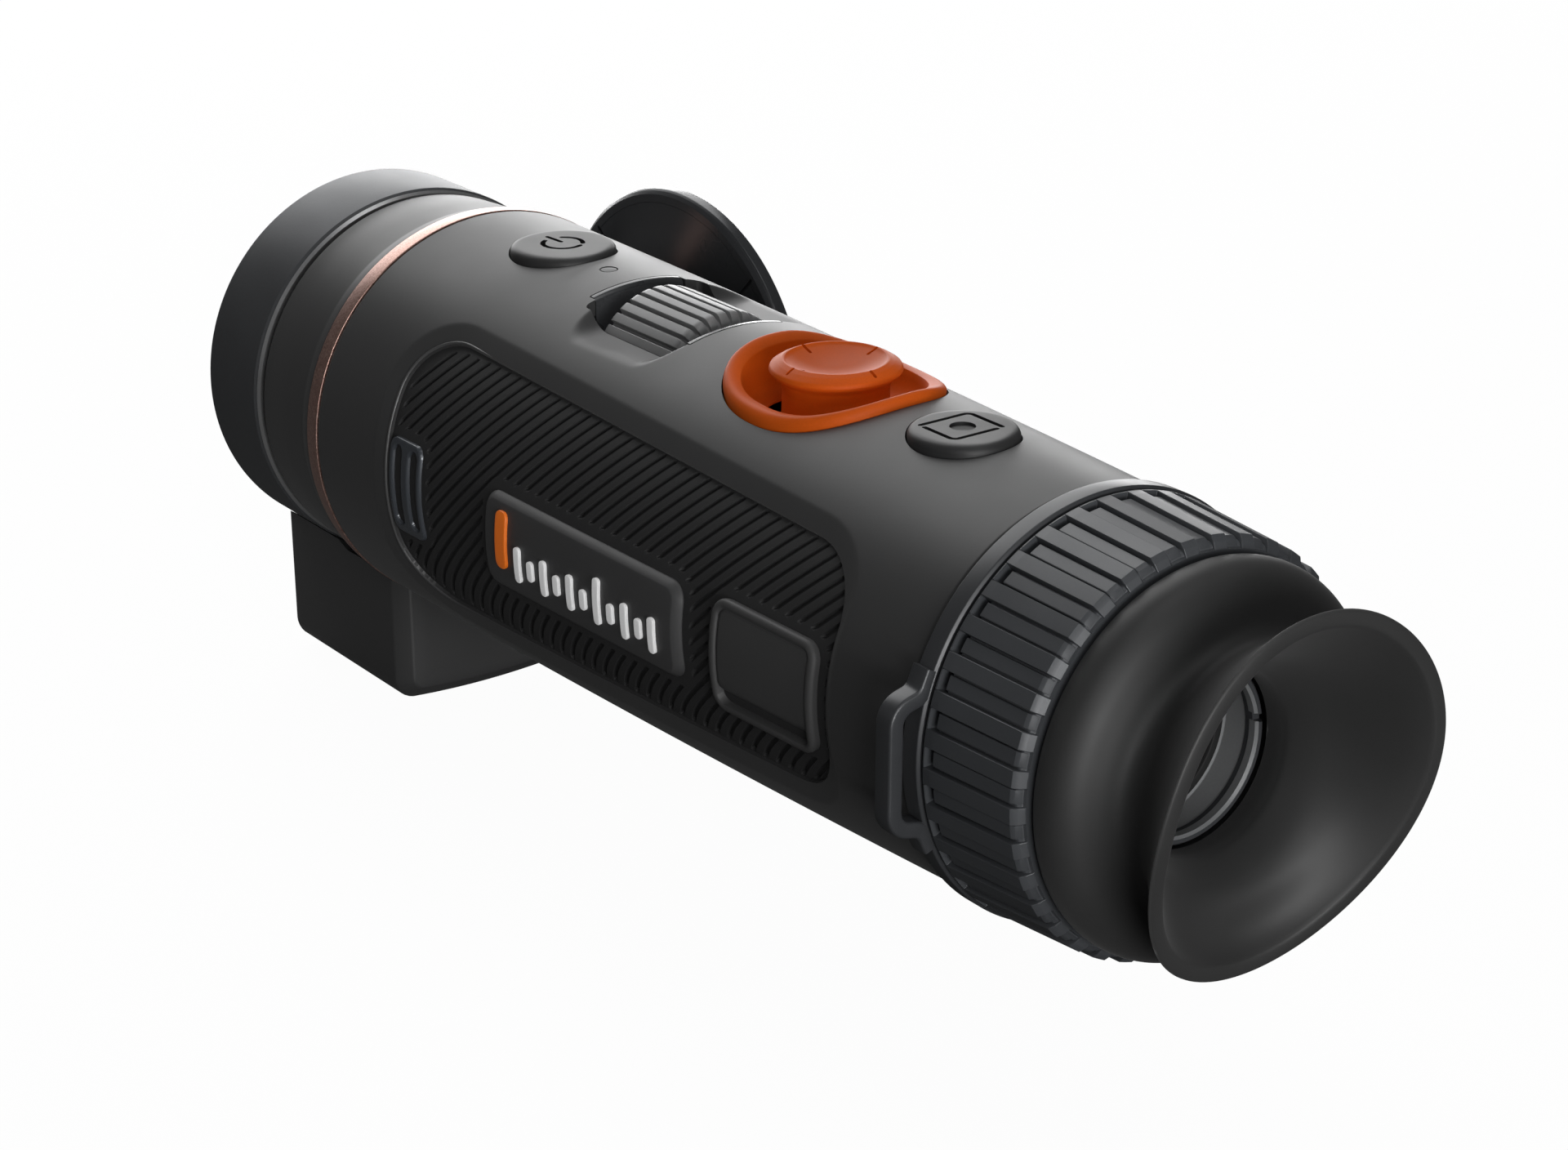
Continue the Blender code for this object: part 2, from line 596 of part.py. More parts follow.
def diopter_ring():
    half_pitch = math.pi / DIOPTER_RIBS
    rib = [(-0.98, 24.3), (-0.62, 25.4), (0.62, 25.4), (0.98, 24.3)]  # share of it, radius
    outline = []
    for k in range(DIOPTER_RIBS):
        for share, radius in rib:
            angle = 2 * math.pi * k / DIOPTER_RIBS + half_pitch * share
            outline.append((radius * math.cos(angle), radius * math.sin(angle)))
    ring = prism("diopter_ring", outline, DIOPTER_X, GREY, "X", pivot=(137.0, 0, 0))
    cut(ring, rod("tool", (100, 160), 21.8, 64))
    envelope = [(100, 0), (100, 30), (136, 25.6), (143.2, 25.1), (144.3, 24.0), (150, 24.0),
                (150, 0)]
    common(ring, lathe("tool", envelope, 64))


def eyecup():
    """Turned cup whose rim leans rearward at the top and is narrower across than high."""
    seg = 48
    lean, wave = 3.88, 1.5    # rim's X shift: top against bottom, sides against top and bottom
    oval = 0.87               # rim's radius change, inward at the sides
    # along X, radius, share of the rim's shaping
    profile = [
        (144.9, 17.0, 0), (144.9, 22.4, 0), (146.0, 23.0, 0), (148.2, 22.7, 0),
        (150.3, 20.6, 0), (151.6, 17.8, 0.05), (152.8, 16.3, 0.15), (154.2, 16.4, 0.35),
        (157.2, 18.9, 0.7), (160.0, 21.56, 1.0), (160.3, 19.53, 1.0), (155.5, 15.9, 0.55),
        (151.0, 12.9, 0.15), (148.0, 11.2, 0), (146.5, 11.2, 0), (146.5, 17.0, 0),
    ]
    points, faces = [], []
    for j, (along, turned, share) in enumerate(profile):
        ring, other = j * seg, (j + 1) % len(profile) * seg
        for i in range(seg):
            angle = 2 * math.pi * i / seg
            x = along + share * (lean * math.sin(angle) + wave * math.cos(2 * angle))
            radius = turned - share * oval * math.cos(2 * angle)
            points.append((x, radius * math.cos(angle), radius * math.sin(angle)))
            k = (i + 1) % seg
            faces.append((ring + i, other + i, other + k, ring + k))
    from_points("eyecup", points, faces, RUBBER, pivot=(150.0, 0, 0))


# ---------------------------------------------------------------- lens cap on its hinge
# The hinge is the fixed point of the swing that takes the cap from parked to closed:
# closed = hinge + turn * (parked - hinge).
turn = cmath.rect(1.0, math.pi + math.pi / 2 - CAP_TILT)
HINGE = (CAP_CLOSED - turn * CAP_PARKED) / (1 - turn)
HINGE_X, HINGE_Y = HINGE.real, HINGE.imag


def lens_cap():
    """Built with its outer face at y = 0 looking to -Y, centred on x = 0, then parked."""
    hinge = (HINGE - CAP_PARKED) / cmath.rect(1.0, CAP_TILT)
    x, y = hinge.real, hinge.imag    # the hinge as seen from the unparked cap
    back = CAP_THICKNESS
    cap = lathe("lens_cap",
                [(0, 0), (0, CAP_RADIUS - CHAMFER), (CHAMFER, CAP_RADIUS), (back, CAP_RADIUS),
                 (back, 22.6), (back + 1.4, 22.4), (back + 1.4, 20.0), (back, 19.8), (back, 0)],
                64, DARK, "Y")
    ear = prism("tool",
                [(x + 2.0, 0.6), (x + 2.2, y + 0.6), (x + 1.2, y + 2.1), (x - 1.2, y + 2.1),
                 (x - 2.4, y + 0.4), (x - 1.8, y - 1.8), (x + 0.2, 0.6)],
                about(0, 3.2))
    add(ear, box("tool2", x=(x + 0.6, -24.5), y=(0.6, back), z=about(0, 3.2)))
    add(cap, ear)
    cut(cap, rod("tool", about(0, 10), 1.1, 20, axis="Z", centre=(x, y, 0)))
    # park the cap, with its origin on the hinge
    shift = CAP_PARKED - HINGE
    cap.data.transform(Matrix.Rotation(CAP_TILT, 4, "Z"))
    cap.data.transform(Matrix.Translation(Vector((shift.real, shift.imag, 0.0)) * SCALE))
    cap.location = (Vector((HINGE_X, HINGE_Y, 0.0)) - Vector(ORIGIN)) * SCALE


def cap_hinge():
    x, y = HINGE_X, HINGE_Y
    bracket = prism("cap_hinge_bracket",
                    [(x - 2.2, y - 0.4), (x - 1.6, y + 1.6), (x, y + 2.2), (x + 1.6, y + 1.6),
                     (x + 2.2, y), (x + 4.6, 26.0), (x + 4.6, 22.0), (x - 1.8, 22.0),
                     (x - 1.8, 28.5)],
                    about(0, 7.0), DARK)
    cut(bracket, rod("tool", (-60, 30), 27.15, 96))    # clears the bezel
    # gap for the cap's ear, then the pin hole
    cut(bracket, box("tool", x=(x - 6, x + 12), y=(y - 5.4, y + 8), z=about(0, 3.6)))
    cut(bracket, rod("tool", about(0, 10), 1.35, 20, axis="Z", centre=(x, y, 0)))
    rod("cap_hinge_pin", about(0, 7.0), 1.0, 20, STEEL, axis="Z", centre=(x, y, 0))


def shade():
    """Smooth shading, with edges sharper than the angle kept crisp."""
    for obj in scene.objects:
        for poly in obj.data.polygons:
            poly.use_smooth = True
        obj.data.set_sharp_from_angle(angle=math.radians(28))


for build in (
    main_casing, tripod_insert, objective_rings, objective_optics, rangefinder, side_pieces,
    port_cover, focus_wheel, focus_gears, focus_lens, plain_boxes, battery, display_frame,
    buttons, joystick_housing, joystick_gimbal, joystick_stick, eyepiece, strap_ring,
    diopter_ring, eyecup, lens_cap, cap_hinge, shade,
):
    build()
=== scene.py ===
"""Hand-held thermal monocular: casing, rangefinder block, focus wheel, keys, eyepiece, lens cap.

Design frame in millimetres: X is the optical axis, from the objective (x < 0) to the eyepiece
(x > 126); x = 0 is at the front edge of the casing. Z is up and -Y is the left side.
"""
import json
import math
import bpy
import bmesh
import numpy as np
from mathutils import Vector, Matrix

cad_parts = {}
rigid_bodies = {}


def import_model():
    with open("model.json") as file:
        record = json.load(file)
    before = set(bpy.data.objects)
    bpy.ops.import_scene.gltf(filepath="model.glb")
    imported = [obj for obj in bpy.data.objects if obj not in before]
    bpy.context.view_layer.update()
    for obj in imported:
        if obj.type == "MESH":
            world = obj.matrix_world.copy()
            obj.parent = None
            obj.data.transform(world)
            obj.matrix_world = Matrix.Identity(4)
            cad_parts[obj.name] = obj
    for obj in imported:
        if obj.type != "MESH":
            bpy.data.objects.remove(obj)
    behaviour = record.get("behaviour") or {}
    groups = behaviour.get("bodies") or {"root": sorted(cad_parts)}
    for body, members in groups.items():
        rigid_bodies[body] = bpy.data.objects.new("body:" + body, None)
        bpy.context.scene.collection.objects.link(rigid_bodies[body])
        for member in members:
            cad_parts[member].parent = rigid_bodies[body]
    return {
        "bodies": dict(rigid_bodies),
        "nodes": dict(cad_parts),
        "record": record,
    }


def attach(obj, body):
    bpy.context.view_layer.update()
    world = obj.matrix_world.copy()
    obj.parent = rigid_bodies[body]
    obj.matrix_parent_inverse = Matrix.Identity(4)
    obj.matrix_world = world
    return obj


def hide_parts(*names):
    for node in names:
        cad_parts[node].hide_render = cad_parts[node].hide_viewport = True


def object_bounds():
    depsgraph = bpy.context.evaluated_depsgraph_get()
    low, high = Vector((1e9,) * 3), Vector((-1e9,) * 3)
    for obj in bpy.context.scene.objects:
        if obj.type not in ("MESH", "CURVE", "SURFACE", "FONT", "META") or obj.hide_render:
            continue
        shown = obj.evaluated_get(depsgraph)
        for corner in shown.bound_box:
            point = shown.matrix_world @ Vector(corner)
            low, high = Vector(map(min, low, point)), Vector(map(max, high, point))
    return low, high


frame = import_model()
CAD_BOX = [[float(c) for c in corner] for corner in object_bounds()]

ORIGIN = np.array((67.5, 0.0, -28.0))  # the CAD frame's origin in the design frame
MM = 0.001
# The casing's body is found by part name where the frame lists parts, else it is "body"
BODY = "body"
if isinstance(next(iter(frame["bodies"].values())), (list, tuple)):
    BODY = next(body for body, parts in frame["bodies"].items() if "main_casing" in parts)
scene = bpy.context.scene

CASING_FRONT, CASING_REAR = 0.45, 126.0
CASING_R = 28.0        # at the front
CASING_TAPER = 2.9     # radius lost by the rear
CASING_BELLY = 0.55    # swelling halfway
ARC = 26.6             # arc length per radian on the casing's sides


def casing_r(x):
    """Plain radius of the casing at x."""
    t = np.clip(np.asarray(x, float) / CASING_REAR, 0.0, 1.0)
    return CASING_R - CASING_TAPER * t + CASING_BELLY * 4 * t * (1 - t)


def ease(start, end, x):
    """Smooth step from 0 at start to 1 at end; end may be the smaller."""
    t = np.clip((np.asarray(x, float) - start) / (end - start), 0.0, 1.0)
    return t * t * (3 - 2 * t)


# ------------------------------------------------------------------ shader helpers
def set_inputs(tree, node, inputs):
    """Sets each named input to a value, or links it to an output socket."""
    for name, value in dict(inputs).items():
        if isinstance(value, bpy.types.NodeSocket):
            tree.links.new(value, node.inputs[name])
        else:
            node.inputs[name].default_value = value


def add_node(tree, kind, inputs=()):
    node = tree.nodes.new("ShaderNode" + kind)
    set_inputs(tree, node, inputs)
    return node


def new_material(name):
    mat = bpy.data.materials.new(name)
    mat.use_nodes = True
    return mat, mat.node_tree, mat.node_tree.nodes["Principled BSDF"]


def texture(tree, kind, scale, inputs=()):
    """Texture in object coordinates."""
    coord = add_node(tree, "TexCoord")
    return add_node(tree, kind, {"Scale": scale, "Vector": coord.outputs["Object"], **dict(inputs)})


def noise(tree, scale, detail=3.0, roughness=0.6):
    inputs = {"Detail": detail, "Roughness": roughness}
    return texture(tree, "TexNoise", scale, inputs).outputs["Fac"]


def ramp(tree, source, low, high, start=0.3, end=0.7):
    """Colour ramp from low at start to high at end."""
    node = add_node(tree, "ValToRGB", {"Fac": source})
    for element, place, colour in zip(node.color_ramp.elements, (start, end), (low, high)):
        element.position = place
        element.color = (*colour, 1.0)
    return node.outputs["Color"]


def map_range(tree, source, low, high, start=0.3, end=0.7):
    return add_node(tree, "MapRange", {
        "From Min": start, "From Max": end, "To Min": low, "To Max": high, "Value": source,
    }).outputs["Result"]


def mix_colour(tree, factor, first, second, blend="MIX"):
    node = add_node(tree, "MixRGB", {"Fac": factor, "Color1": first, "Color2": second})
    node.blend_type = blend
    return node.outputs["Color"]


def bump_normal(tree, height, strength, distance_mm):
    inputs = {"Strength": strength, "Distance": distance_mm * MM, "Height": height}
    return add_node(tree, "Bump", inputs).outputs["Normal"]


# ------------------------------------------------------------------ materials
def make_finish(name, colour, spread, rough, metal, grain_mm, bump, bump_mm, patch_mm, specular,
                sheen=0.0, painted_edge_highlight=None):
    """Moulded or coated surface: fine grain in the bump, slow patches in colour and roughness.

    The last argument is (colour, amount) for a painted highlight that lightens exposed edges.
    """
    mat, tree, bsdf = new_material(name)
    fine = noise(tree, 1000.0 / grain_mm / 2.2, detail=2.0, roughness=0.55)
    slow = noise(tree, 1000.0 / patch_mm)
    colour = np.array(colour)
    base = ramp(tree, slow, colour * (1 - spread), colour * (1 + spread))
    speckle = ramp(tree, fine, low=(0.86,) * 3, high=(1.0,) * 3, start=0.35, end=0.6)
    surface = mix_colour(tree, 0.35, base, speckle, blend="MULTIPLY")
    # painted highlight: edges found by pointiness are mixed towards a lighter colour
    if painted_edge_highlight:
        edge_colour, amount = painted_edge_highlight
        geometry = add_node(tree, "NewGeometry")
        edge_highlight = map_range(tree, geometry.outputs["Pointiness"], 0.0, amount, start=0.53, end=0.62)
        surface = mix_colour(tree, edge_highlight, surface, (*edge_colour, 1.0))
    set_inputs(tree, bsdf, {
        "Base Color": surface,
        "Roughness": map_range(tree, slow, *rough),
        "Normal": bump_normal(tree, fine, bump, bump_mm),
        "Metallic": metal,
        "Specular IOR Level": specular,
        "Coat Roughness": 0.2,
        "Sheen Weight": sheen,
    })
    return mat


def make_glass(name, colour, film, rough, metal):
    """Opaque coated lens: the film colour takes over towards grazing angles."""
    mat, tree, bsdf = new_material(name)
    slow = noise(tree, 60.0, detail=2.0)
    colour = np.array(colour)
    base = ramp(tree, slow, colour * 0.9, colour * 1.1)
    facing = add_node(tree, "LayerWeight", {"Blend": 0.35}).outputs["Facing"]
    set_inputs(tree, bsdf, {
        "Base Color": mix_colour(tree, facing, base, (*film, 1.0)),
        "Roughness": map_range(tree, slow, rough * 0.7, rough * 1.4),
        "Metallic": metal,
        "Coat Weight": 0.6,
        "Coat Roughness": 0.03,
    })
    return mat


def make_copper():
    """Rose metal coat with fine metallic flake."""
    mat, tree, bsdf = new_material("copper_flake")
    flake = texture(tree, "TexVoronoi", 5200.0).outputs["Distance"]
    fine = noise(tree, 3600.0, detail=2.0)
    base = ramp(tree, fine, (0.47, 0.28, 0.235), (0.68, 0.46, 0.39), start=0.35, end=0.65)
    spark = ramp(tree, flake, (1.0, 1.0, 1.0), (0.55, 0.5, 0.5), start=0.1, end=0.55)
    set_inputs(tree, bsdf, {
        "Base Color": mix_colour(tree, 0.45, base, spark, blend="MULTIPLY"),
        "Roughness": map_range(tree, fine, 0.30, 0.45),
        "Metallic": 0.92,
        "Normal": bump_normal(tree, fine, strength=0.8, distance_mm=0.03),
    })
    return mat


# key: material name, colour, colour spread, roughness range, metallic,
#      grain mm, bump strength, bump depth mm, patch mm, specular level
FINISHES = {
    "anchor": ("anchor_gloss", (0.07, 0.078, 0.09), 0.05, (0.24, 0.3), 0.25,
               0.12, 0.15, 0.012, 10, 0.7),
    "edge": ("polished_edge_light", (0.62, 0.625, 0.63), 0.03, (0.3, 0.36), 0.95,
             0.2, 0.05, 0.005, 10, 0.5),
    "strap": ("strap_satin", (0.045, 0.047, 0.051), 0.05, (0.36, 0.42), 0.2,
              0.12, 0.2, 0.012, 10, 0.6),
    "lip": ("lip_satin", (0.075, 0.075, 0.076), 0.04, (0.34, 0.4), 0, 0.1, 0.1, 0.01, 10, 0.6),
    "liner": ("liner_gloss", (0.045, 0.047, 0.05), 0.05, (0.24, 0.3), 0.2,
              0.1, 0.15, 0.012, 8, 0.7),
    "soft": ("soft_touch_shell", (0.036, 0.036, 0.0365), 0.04, (0.47, 0.53), 0,
             0.1, 0.25, 0.012, 20, 0.55),
    "soft_smooth": ("soft_touch_key", (0.025, 0.025, 0.0255), 0.04, (0.52, 0.58), 0,
                    0.08, 0.18, 0.01, 8, 0.55),
    "bezel": ("bezel_satin_metal", (0.088, 0.091, 0.096), 0.05, (0.48, 0.56), 0.45,
              0.14, 0.45, 0.02, 16, 0.35),
    "cap": ("cap_satin", (0.05, 0.052, 0.056), 0.05, (0.26, 0.33), 0.35,
            0.16, 0.22, 0.012, 14, 0.6),
    "rubber": ("grip_rubber", (0.03, 0.03, 0.0305), 0.05, (0.6, 0.7), 0,
               0.13, 0.35, 0.02, 12, 0.42),
    "cup": ("eyecup_silicone", (0.027, 0.027, 0.027), 0.06, (0.5, 0.57), 0,
            0.12, 0.2, 0.012, 18, 0.5),
    "orange": ("orange_shell", (0.62, 0.092, 0.007), 0.05, (0.5, 0.58), 0,
               0.1, 0.2, 0.012, 9, 0.14),
    "ribbed": ("slate_semi_gloss", (0.064, 0.068, 0.074), 0.05, (0.38, 0.45), 0.15,
               0.12, 0.25, 0.012, 10, 0.6),
    "wheel": ("wheel_semi_gloss", (0.25, 0.251, 0.253), 0.05, (0.4, 0.48), 0.1,
              0.1, 0.2, 0.012, 8, 0.5),
    "plastic": ("inner_plastic", (0.035, 0.035, 0.037), 0.06, (0.5, 0.6), 0,
                0.15, 0.3, 0.02, 10, 0.5),
    "plate": ("plate_plastic", (0.06, 0.06, 0.061), 0.04, (0.5, 0.57), 0,
              0.1, 0.2, 0.012, 12, 0.5),
    "pale": ("pale_grey_inlay", (0.78, 0.78, 0.78), 0.03, (0.4, 0.5), 0, 0.1, 0.1, 0.01, 6, 0.5),
    "inlay": ("orange_inlay", (0.8, 0.17, 0.012), 0.03, (0.4, 0.5), 0, 0.1, 0.1, 0.01, 6, 0.5),
    "steel": ("bright_steel", (0.5, 0.51, 0.53), 0.05, (0.22, 0.34), 1, 0.25, 0.15, 0.01, 8, 0.5),
    "brass": ("brass", (0.62, 0.45, 0.18), 0.08, (0.26, 0.38), 1, 0.2, 0.15, 0.01, 6, 0.5),
    "board": ("board_green", (0.02, 0.1, 0.05), 0.15, (0.4, 0.5), 0, 0.4, 0.2, 0.02, 5, 0.5),
    "battery": ("battery_sleeve", (0.03, 0.1, 0.26), 0.06, (0.3, 0.4), 0,
                0.3, 0.1, 0.01, 20, 0.5),
    "port": ("port_rubber", (0.062, 0.062, 0.0625), 0.05, (0.52, 0.6), 0,
             0.1, 0.25, 0.015, 12, 0.5),
    "bore": ("bore_satin", (0.26, 0.265, 0.27), 0.04, (0.45, 0.52), 0, 0.12, 0.15, 0.01, 8, 0.5),
    "eye_edge": ("eye_edge_light", (0.2, 0.205, 0.21), 0.04, (0.34, 0.42), 0.2,
                 0.12, 0.1, 0.01, 8, 0.6),
    "eye_glass": ("eye_glass_dark", (0.004, 0.004, 0.005), 0.05, (0.1, 0.14), 0,
                  0.2, 0.02, 0.002, 10, 0.2),
    "black": ("dark_gap", (0.008, 0.008, 0.008), 0.1, (0.6, 0.7), 0, 0.2, 0.2, 0.01, 8, 0.3),
}
FINISH_EXTRAS = {
    "soft": {"sheen": 0.05},
    # the eyecup's exposed edges carry a painted highlight along its rim
    "cup": {"sheen": 0.08, "painted_edge_highlight": ((0.12, 0.12, 0.12), 0.8)},
}
# Painted light: a faint glow on parts that are no lamps, which keeps the bright colours clear and
# lifts them in shade: key, colour, strength
PAINTED_GLOWS = [
    ("pale", (0.8, 0.8, 0.8, 1), 0.22),
    ("inlay", (0.8, 0.16, 0.01, 1), 0.16),
    ("orange", (1.0, 0.25, 0.005, 1), 0.020),
]

MATS = {key: make_finish(*row, **FINISH_EXTRAS.get(key, {})) for key, row in FINISHES.items()}
MATS["glass"] = make_glass("coated_glass", (0.020, 0.024, 0.030), film=(0.10, 0.13, 0.20),
                           rough=0.05, metal=0.0)
MATS["germanium"] = make_glass("germanium", (0.17, 0.14, 0.17), film=(0.32, 0.22, 0.34),
                               rough=0.06, metal=0.9)
MATS["copper"] = make_copper()
# the emission set here is painted light, not a lamp
for key, tint, strength in PAINTED_GLOWS:
    tree = MATS[key].node_tree
    set_inputs(tree, tree.nodes["Principled BSDF"],
               {"Emission Color": tint, "Emission Strength": strength})


# ------------------------------------------------------------------ objects and Booleans
def shade(mesh, sharp):
    """Smooth faces, with edges above the angle (degrees) kept sharp."""
    mesh.polygons.foreach_set("use_smooth", [True] * len(mesh.polygons))
    mesh.set_sharp_from_angle(angle=math.radians(sharp))


def mesh_object(name, solid, mat, sharp=32.0):
    """Object from a solid: (points in design millimetres, faces)."""
    points, faces = solid
    points = (np.asarray(points, float) - ORIGIN) * MM
    mesh = bpy.data.meshes.new(name)
    mesh.from_pydata(points.tolist(), [], [tuple(int(i) for i in face) for face in faces])
    bm = bmesh.new()
    bm.from_mesh(mesh)
    bmesh.ops.remove_doubles(bm, verts=bm.verts, dist=1e-7)
    bmesh.ops.dissolve_degenerate(bm, dist=1e-8, edges=bm.edges)
    bmesh.ops.recalc_face_normals(bm, faces=bm.faces)
    if bm.calc_volume(signed=True) < 0:
        bmesh.ops.reverse_faces(bm, faces=bm.faces)
    bm.to_mesh(mesh)
    bm.free()
    shade(mesh, sharp)
    mesh.materials.append(mat)
    obj = bpy.data.objects.new(name, mesh)
    scene.collection.objects.link(obj)
    return obj


def piece(name, solid, mat, replaces=None, body=BODY, sharp=32.0):
    """Object that rides on a body and may stand in for a CAD part."""
    obj = mesh_object(name, solid, MATS[mat], sharp)
    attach(obj, body)
    if replaces:
        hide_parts(replaces)
    return obj


def cutter(solid):
    return mesh_object("tool", solid, MATS["black"])


def cut(obj, cutters, sharp=32.0):
    """Takes the cutters out of the object, in order, and removes them."""
    for i, tool in enumerate(cutters):
        mod = obj.modifiers.new("b%d" % i, "BOOLEAN")
        mod.operation = "DIFFERENCE"
        mod.object = tool
        mod.solver = "EXACT"
    bpy.context.view_layer.update()
    graph = bpy.context.evaluated_depsgraph_get()
    mesh = bpy.data.meshes.new_from_object(obj.evaluated_get(graph))
    obj.modifiers.clear()
    mat = obj.data.materials[0]
    obj.data = mesh
    mesh.materials.clear()
    mesh.materials.append(mat)
    mesh.polygons.foreach_set("material_index", [0] * len(mesh.polygons))
    shade(mesh, sharp)
    for tool in cutters:
        bpy.data.objects.remove(tool, do_unlink=True)


# ------------------------------------------------------------------ outlines
def on_circle(centre, radius, angle):
    return (centre[0] + radius * math.cos(angle), centre[1] + radius * math.sin(angle))


def arc_points(centre, radius, start, end, steps):
    """Points from one angle to another, in degrees, both ends included."""
    return [on_circle(centre, radius, math.radians(start + (end - start) * i / steps))
            for i in range(steps + 1)]


def fillet(corners, steps=5):
    """Rounds (a, b, radius) corners; a radius is cut short where it doesn't fit."""
    points = [np.array(corner[:2], float) for corner in corners]
    out = []
    for i, point in enumerate(points):
        radius = corners[i][2]
        if radius <= 0:
            out.append(tuple(point))
            continue
        to_last = points[i - 1] - point
        to_next = points[(i + 1) % len(points)] - point
        len_last, len_next = np.linalg.norm(to_last), np.linalg.norm(to_next)
        to_last, to_next = to_last / len_last, to_next / len_next
        angle = math.acos(max(-1, min(1, float(to_last @ to_next))))
        if angle > math.pi - 0.02 or angle < 0.02:
            out.append(tuple(point))
            continue
        trim = radius / math.tan(angle / 2)
        limit = 0.49 * min(len_last, len_next)
        if trim > limit:
            trim = limit
            radius = trim * math.tan(angle / 2)
        middle = (to_last + to_next) / np.linalg.norm(to_last + to_next)
        centre = point + middle * (radius / math.sin(angle / 2))
        first = point + to_last * trim - centre
        last = point + to_next * trim - centre
        start = math.atan2(first[1], first[0])
        turn = (math.atan2(last[1], last[0]) - start + math.pi) % (2 * math.pi) - math.pi
        out += [on_circle(centre, radius, start + turn * k / steps) for k in range(steps + 1)]
    return out


def rounded_rect(cx, cy, half_x, half_y, radius, inset=0.0, steps=6):
    """Fixed count of points, so insets match point for point."""
    half_x, half_y = half_x - inset, half_y - inset
    radius = max(0.05, min(radius - inset, half_x - 0.01, half_y - 0.01))
    out = []
    for sx, sy, start in ((1, 1, 0), (-1, 1, 90), (-1, -1, 180), (1, -1, 270)):
        centre = (cx + sx * (half_x - radius), cy + sy * (half_y - radius))
        out += arc_points(centre, radius, start, start + 90, steps)
    return np.array(out)


def dense_rect(centre, half, radius, step, steps=6):
    """Outline by inset of a rounded rectangle, with points added on its straight runs."""
    def corners(inset):
        return rounded_rect(*centre, *half, radius, inset, steps)

    base = corners(0.0)
    counts = [max(1, int(math.ceil(np.linalg.norm(b - a) / step)))
              for a, b in zip(base, np.roll(base, -1, 0))]

    def outline(inset):
        loop = corners(inset)
        return np.array([a + (b - a) * k / count
                         for a, b, count in zip(loop, np.roll(loop, -1, 0), counts)
                         for k in range(count)])
    return outline


def polar_outline(centre, radius_at, count):
    """Outline by inset of a shape given as a radius at each angle."""
    def outline(inset):
        angles = [2 * math.pi * i / count for i in range(count)]
        return np.array([on_circle(centre, radius_at(a) - inset, a) for a in angles])
    return outline


def bulge(angle, at, width):
    """Bell curve round an angle."""
    off = math.atan2(math.sin(angle - at), math.cos(angle - at))
    return math.exp(-(off / width) ** 2)


def egg(centre, radius, tip, at):
    """Circle with a soft tip at an angle in degrees."""
    return polar_outline(
        centre, lambda angle: radius + tip * bulge(angle, math.radians(at), 0.6), 72)


def spline(points, steps=6):
    """Catmull-Rom curve through the points."""
    knots = [np.array(p, float) for p in points]
    out = []
    for i in range(len(knots) - 1):
        p0, p1, p2, p3 = (knots[max(i - 1, 0)], knots[i], knots[i + 1],
                          knots[min(i + 2, len(knots) - 1)])
        for k in range(steps):
            t = k / steps
            out.append(tuple(0.5 * ((2 * p1) + (-p0 + p2) * t + (2 * p0 - 5 * p1 + 4 * p2 - p3) * t * t
                                    + (-p0 + 3 * p1 - 3 * p2 + p3) * t ** 3)))
    out.append(tuple(knots[-1]))
    return out


# ------------------------------------------------------------------ solids
AXIS_COLUMNS = {"X": (0, 1, 2), "Y": (1, 0, 2), "Z": (1, 2, 0)}


def turned(profile, seg, axis="X", centre=(0, 0, 0)):
    """Closed profile of (along, radius) turned round an axis."""
    stations = []
    for point in profile:
        if not stations or math.dist(point, stations[-1]) > 1e-5:
            stations.append(point)
    angles = np.arange(seg) * 2 * math.pi / seg
    points, rings = [], []
    for along, radius in stations:
        size = 1 if radius < 1e-6 else seg
        rings.append((len(points), size))
        turn = angles[:size]
        points += np.stack([np.full(size, along), radius * np.cos(turn), radius * np.sin(turn)],
                           1).tolist()
    faces = []
    for i, (a, size_a) in enumerate(rings):
        b, size_b = rings[(i + 1) % len(rings)]
        for j in range(seg):
            k = (j + 1) % seg
            # a ring on the axis is one point, which turns the quads into triangles
            face = tuple(dict.fromkeys((a + j % size_a, b + j % size_b,
                                        b + k % size_b, a + k % size_a)))
            if len(face) > 2:
                faces.append(face)
    return np.array(points)[:, AXIS_COLUMNS[axis]] + centre, faces


def lathe(name, corners, seg, mat, replaces=None, body=BODY, axis="X", centre=(0, 0, 0),
          steps=5, sharp=32.0):
    """Turned piece from (along, radius, corner radius)."""
    solid = turned(fillet(corners, steps), seg, axis, centre)
    return piece(name, solid, mat, replaces, body, sharp)


def lens(name, back, apex, sag, radius, rings, seg, mat, replaces, body=BODY,
         centre=(0, 0, 0), rim=()):
    """Lens with a flat back and a domed face; sag is the dome's signed depth."""
    dome = [(apex + sag * (r / radius) ** 2, r) for r in np.linspace(radius, 0.0, rings)]
    solid = turned([(back, 0.0), (back, radius), *rim] + dome, seg, "X", centre)
    piece(name, solid, mat, replaces, body, 30)


def band(a, b, count):
    """Quads between two closed loops that start at points a and b."""
    return [(a + i, a + (i + 1) % count, b + (i + 1) % count, b + i) for i in range(count)]


def prism(outline, low, high, axis="Z"):
    count = len(outline)
    place = {"X": lambda p, h: (h, p[0], p[1]), "Y": lambda p, h: (p[0], h, p[1]),
             "Z": lambda p, h: (p[0], p[1], h)}[axis]
    points = np.array([place(p, h) for h in (low, high) for p in outline])
    ends = [tuple(range(count)), tuple(range(2 * count - 1, count - 1, -1))]
    return points, ends + band(0, count, count)


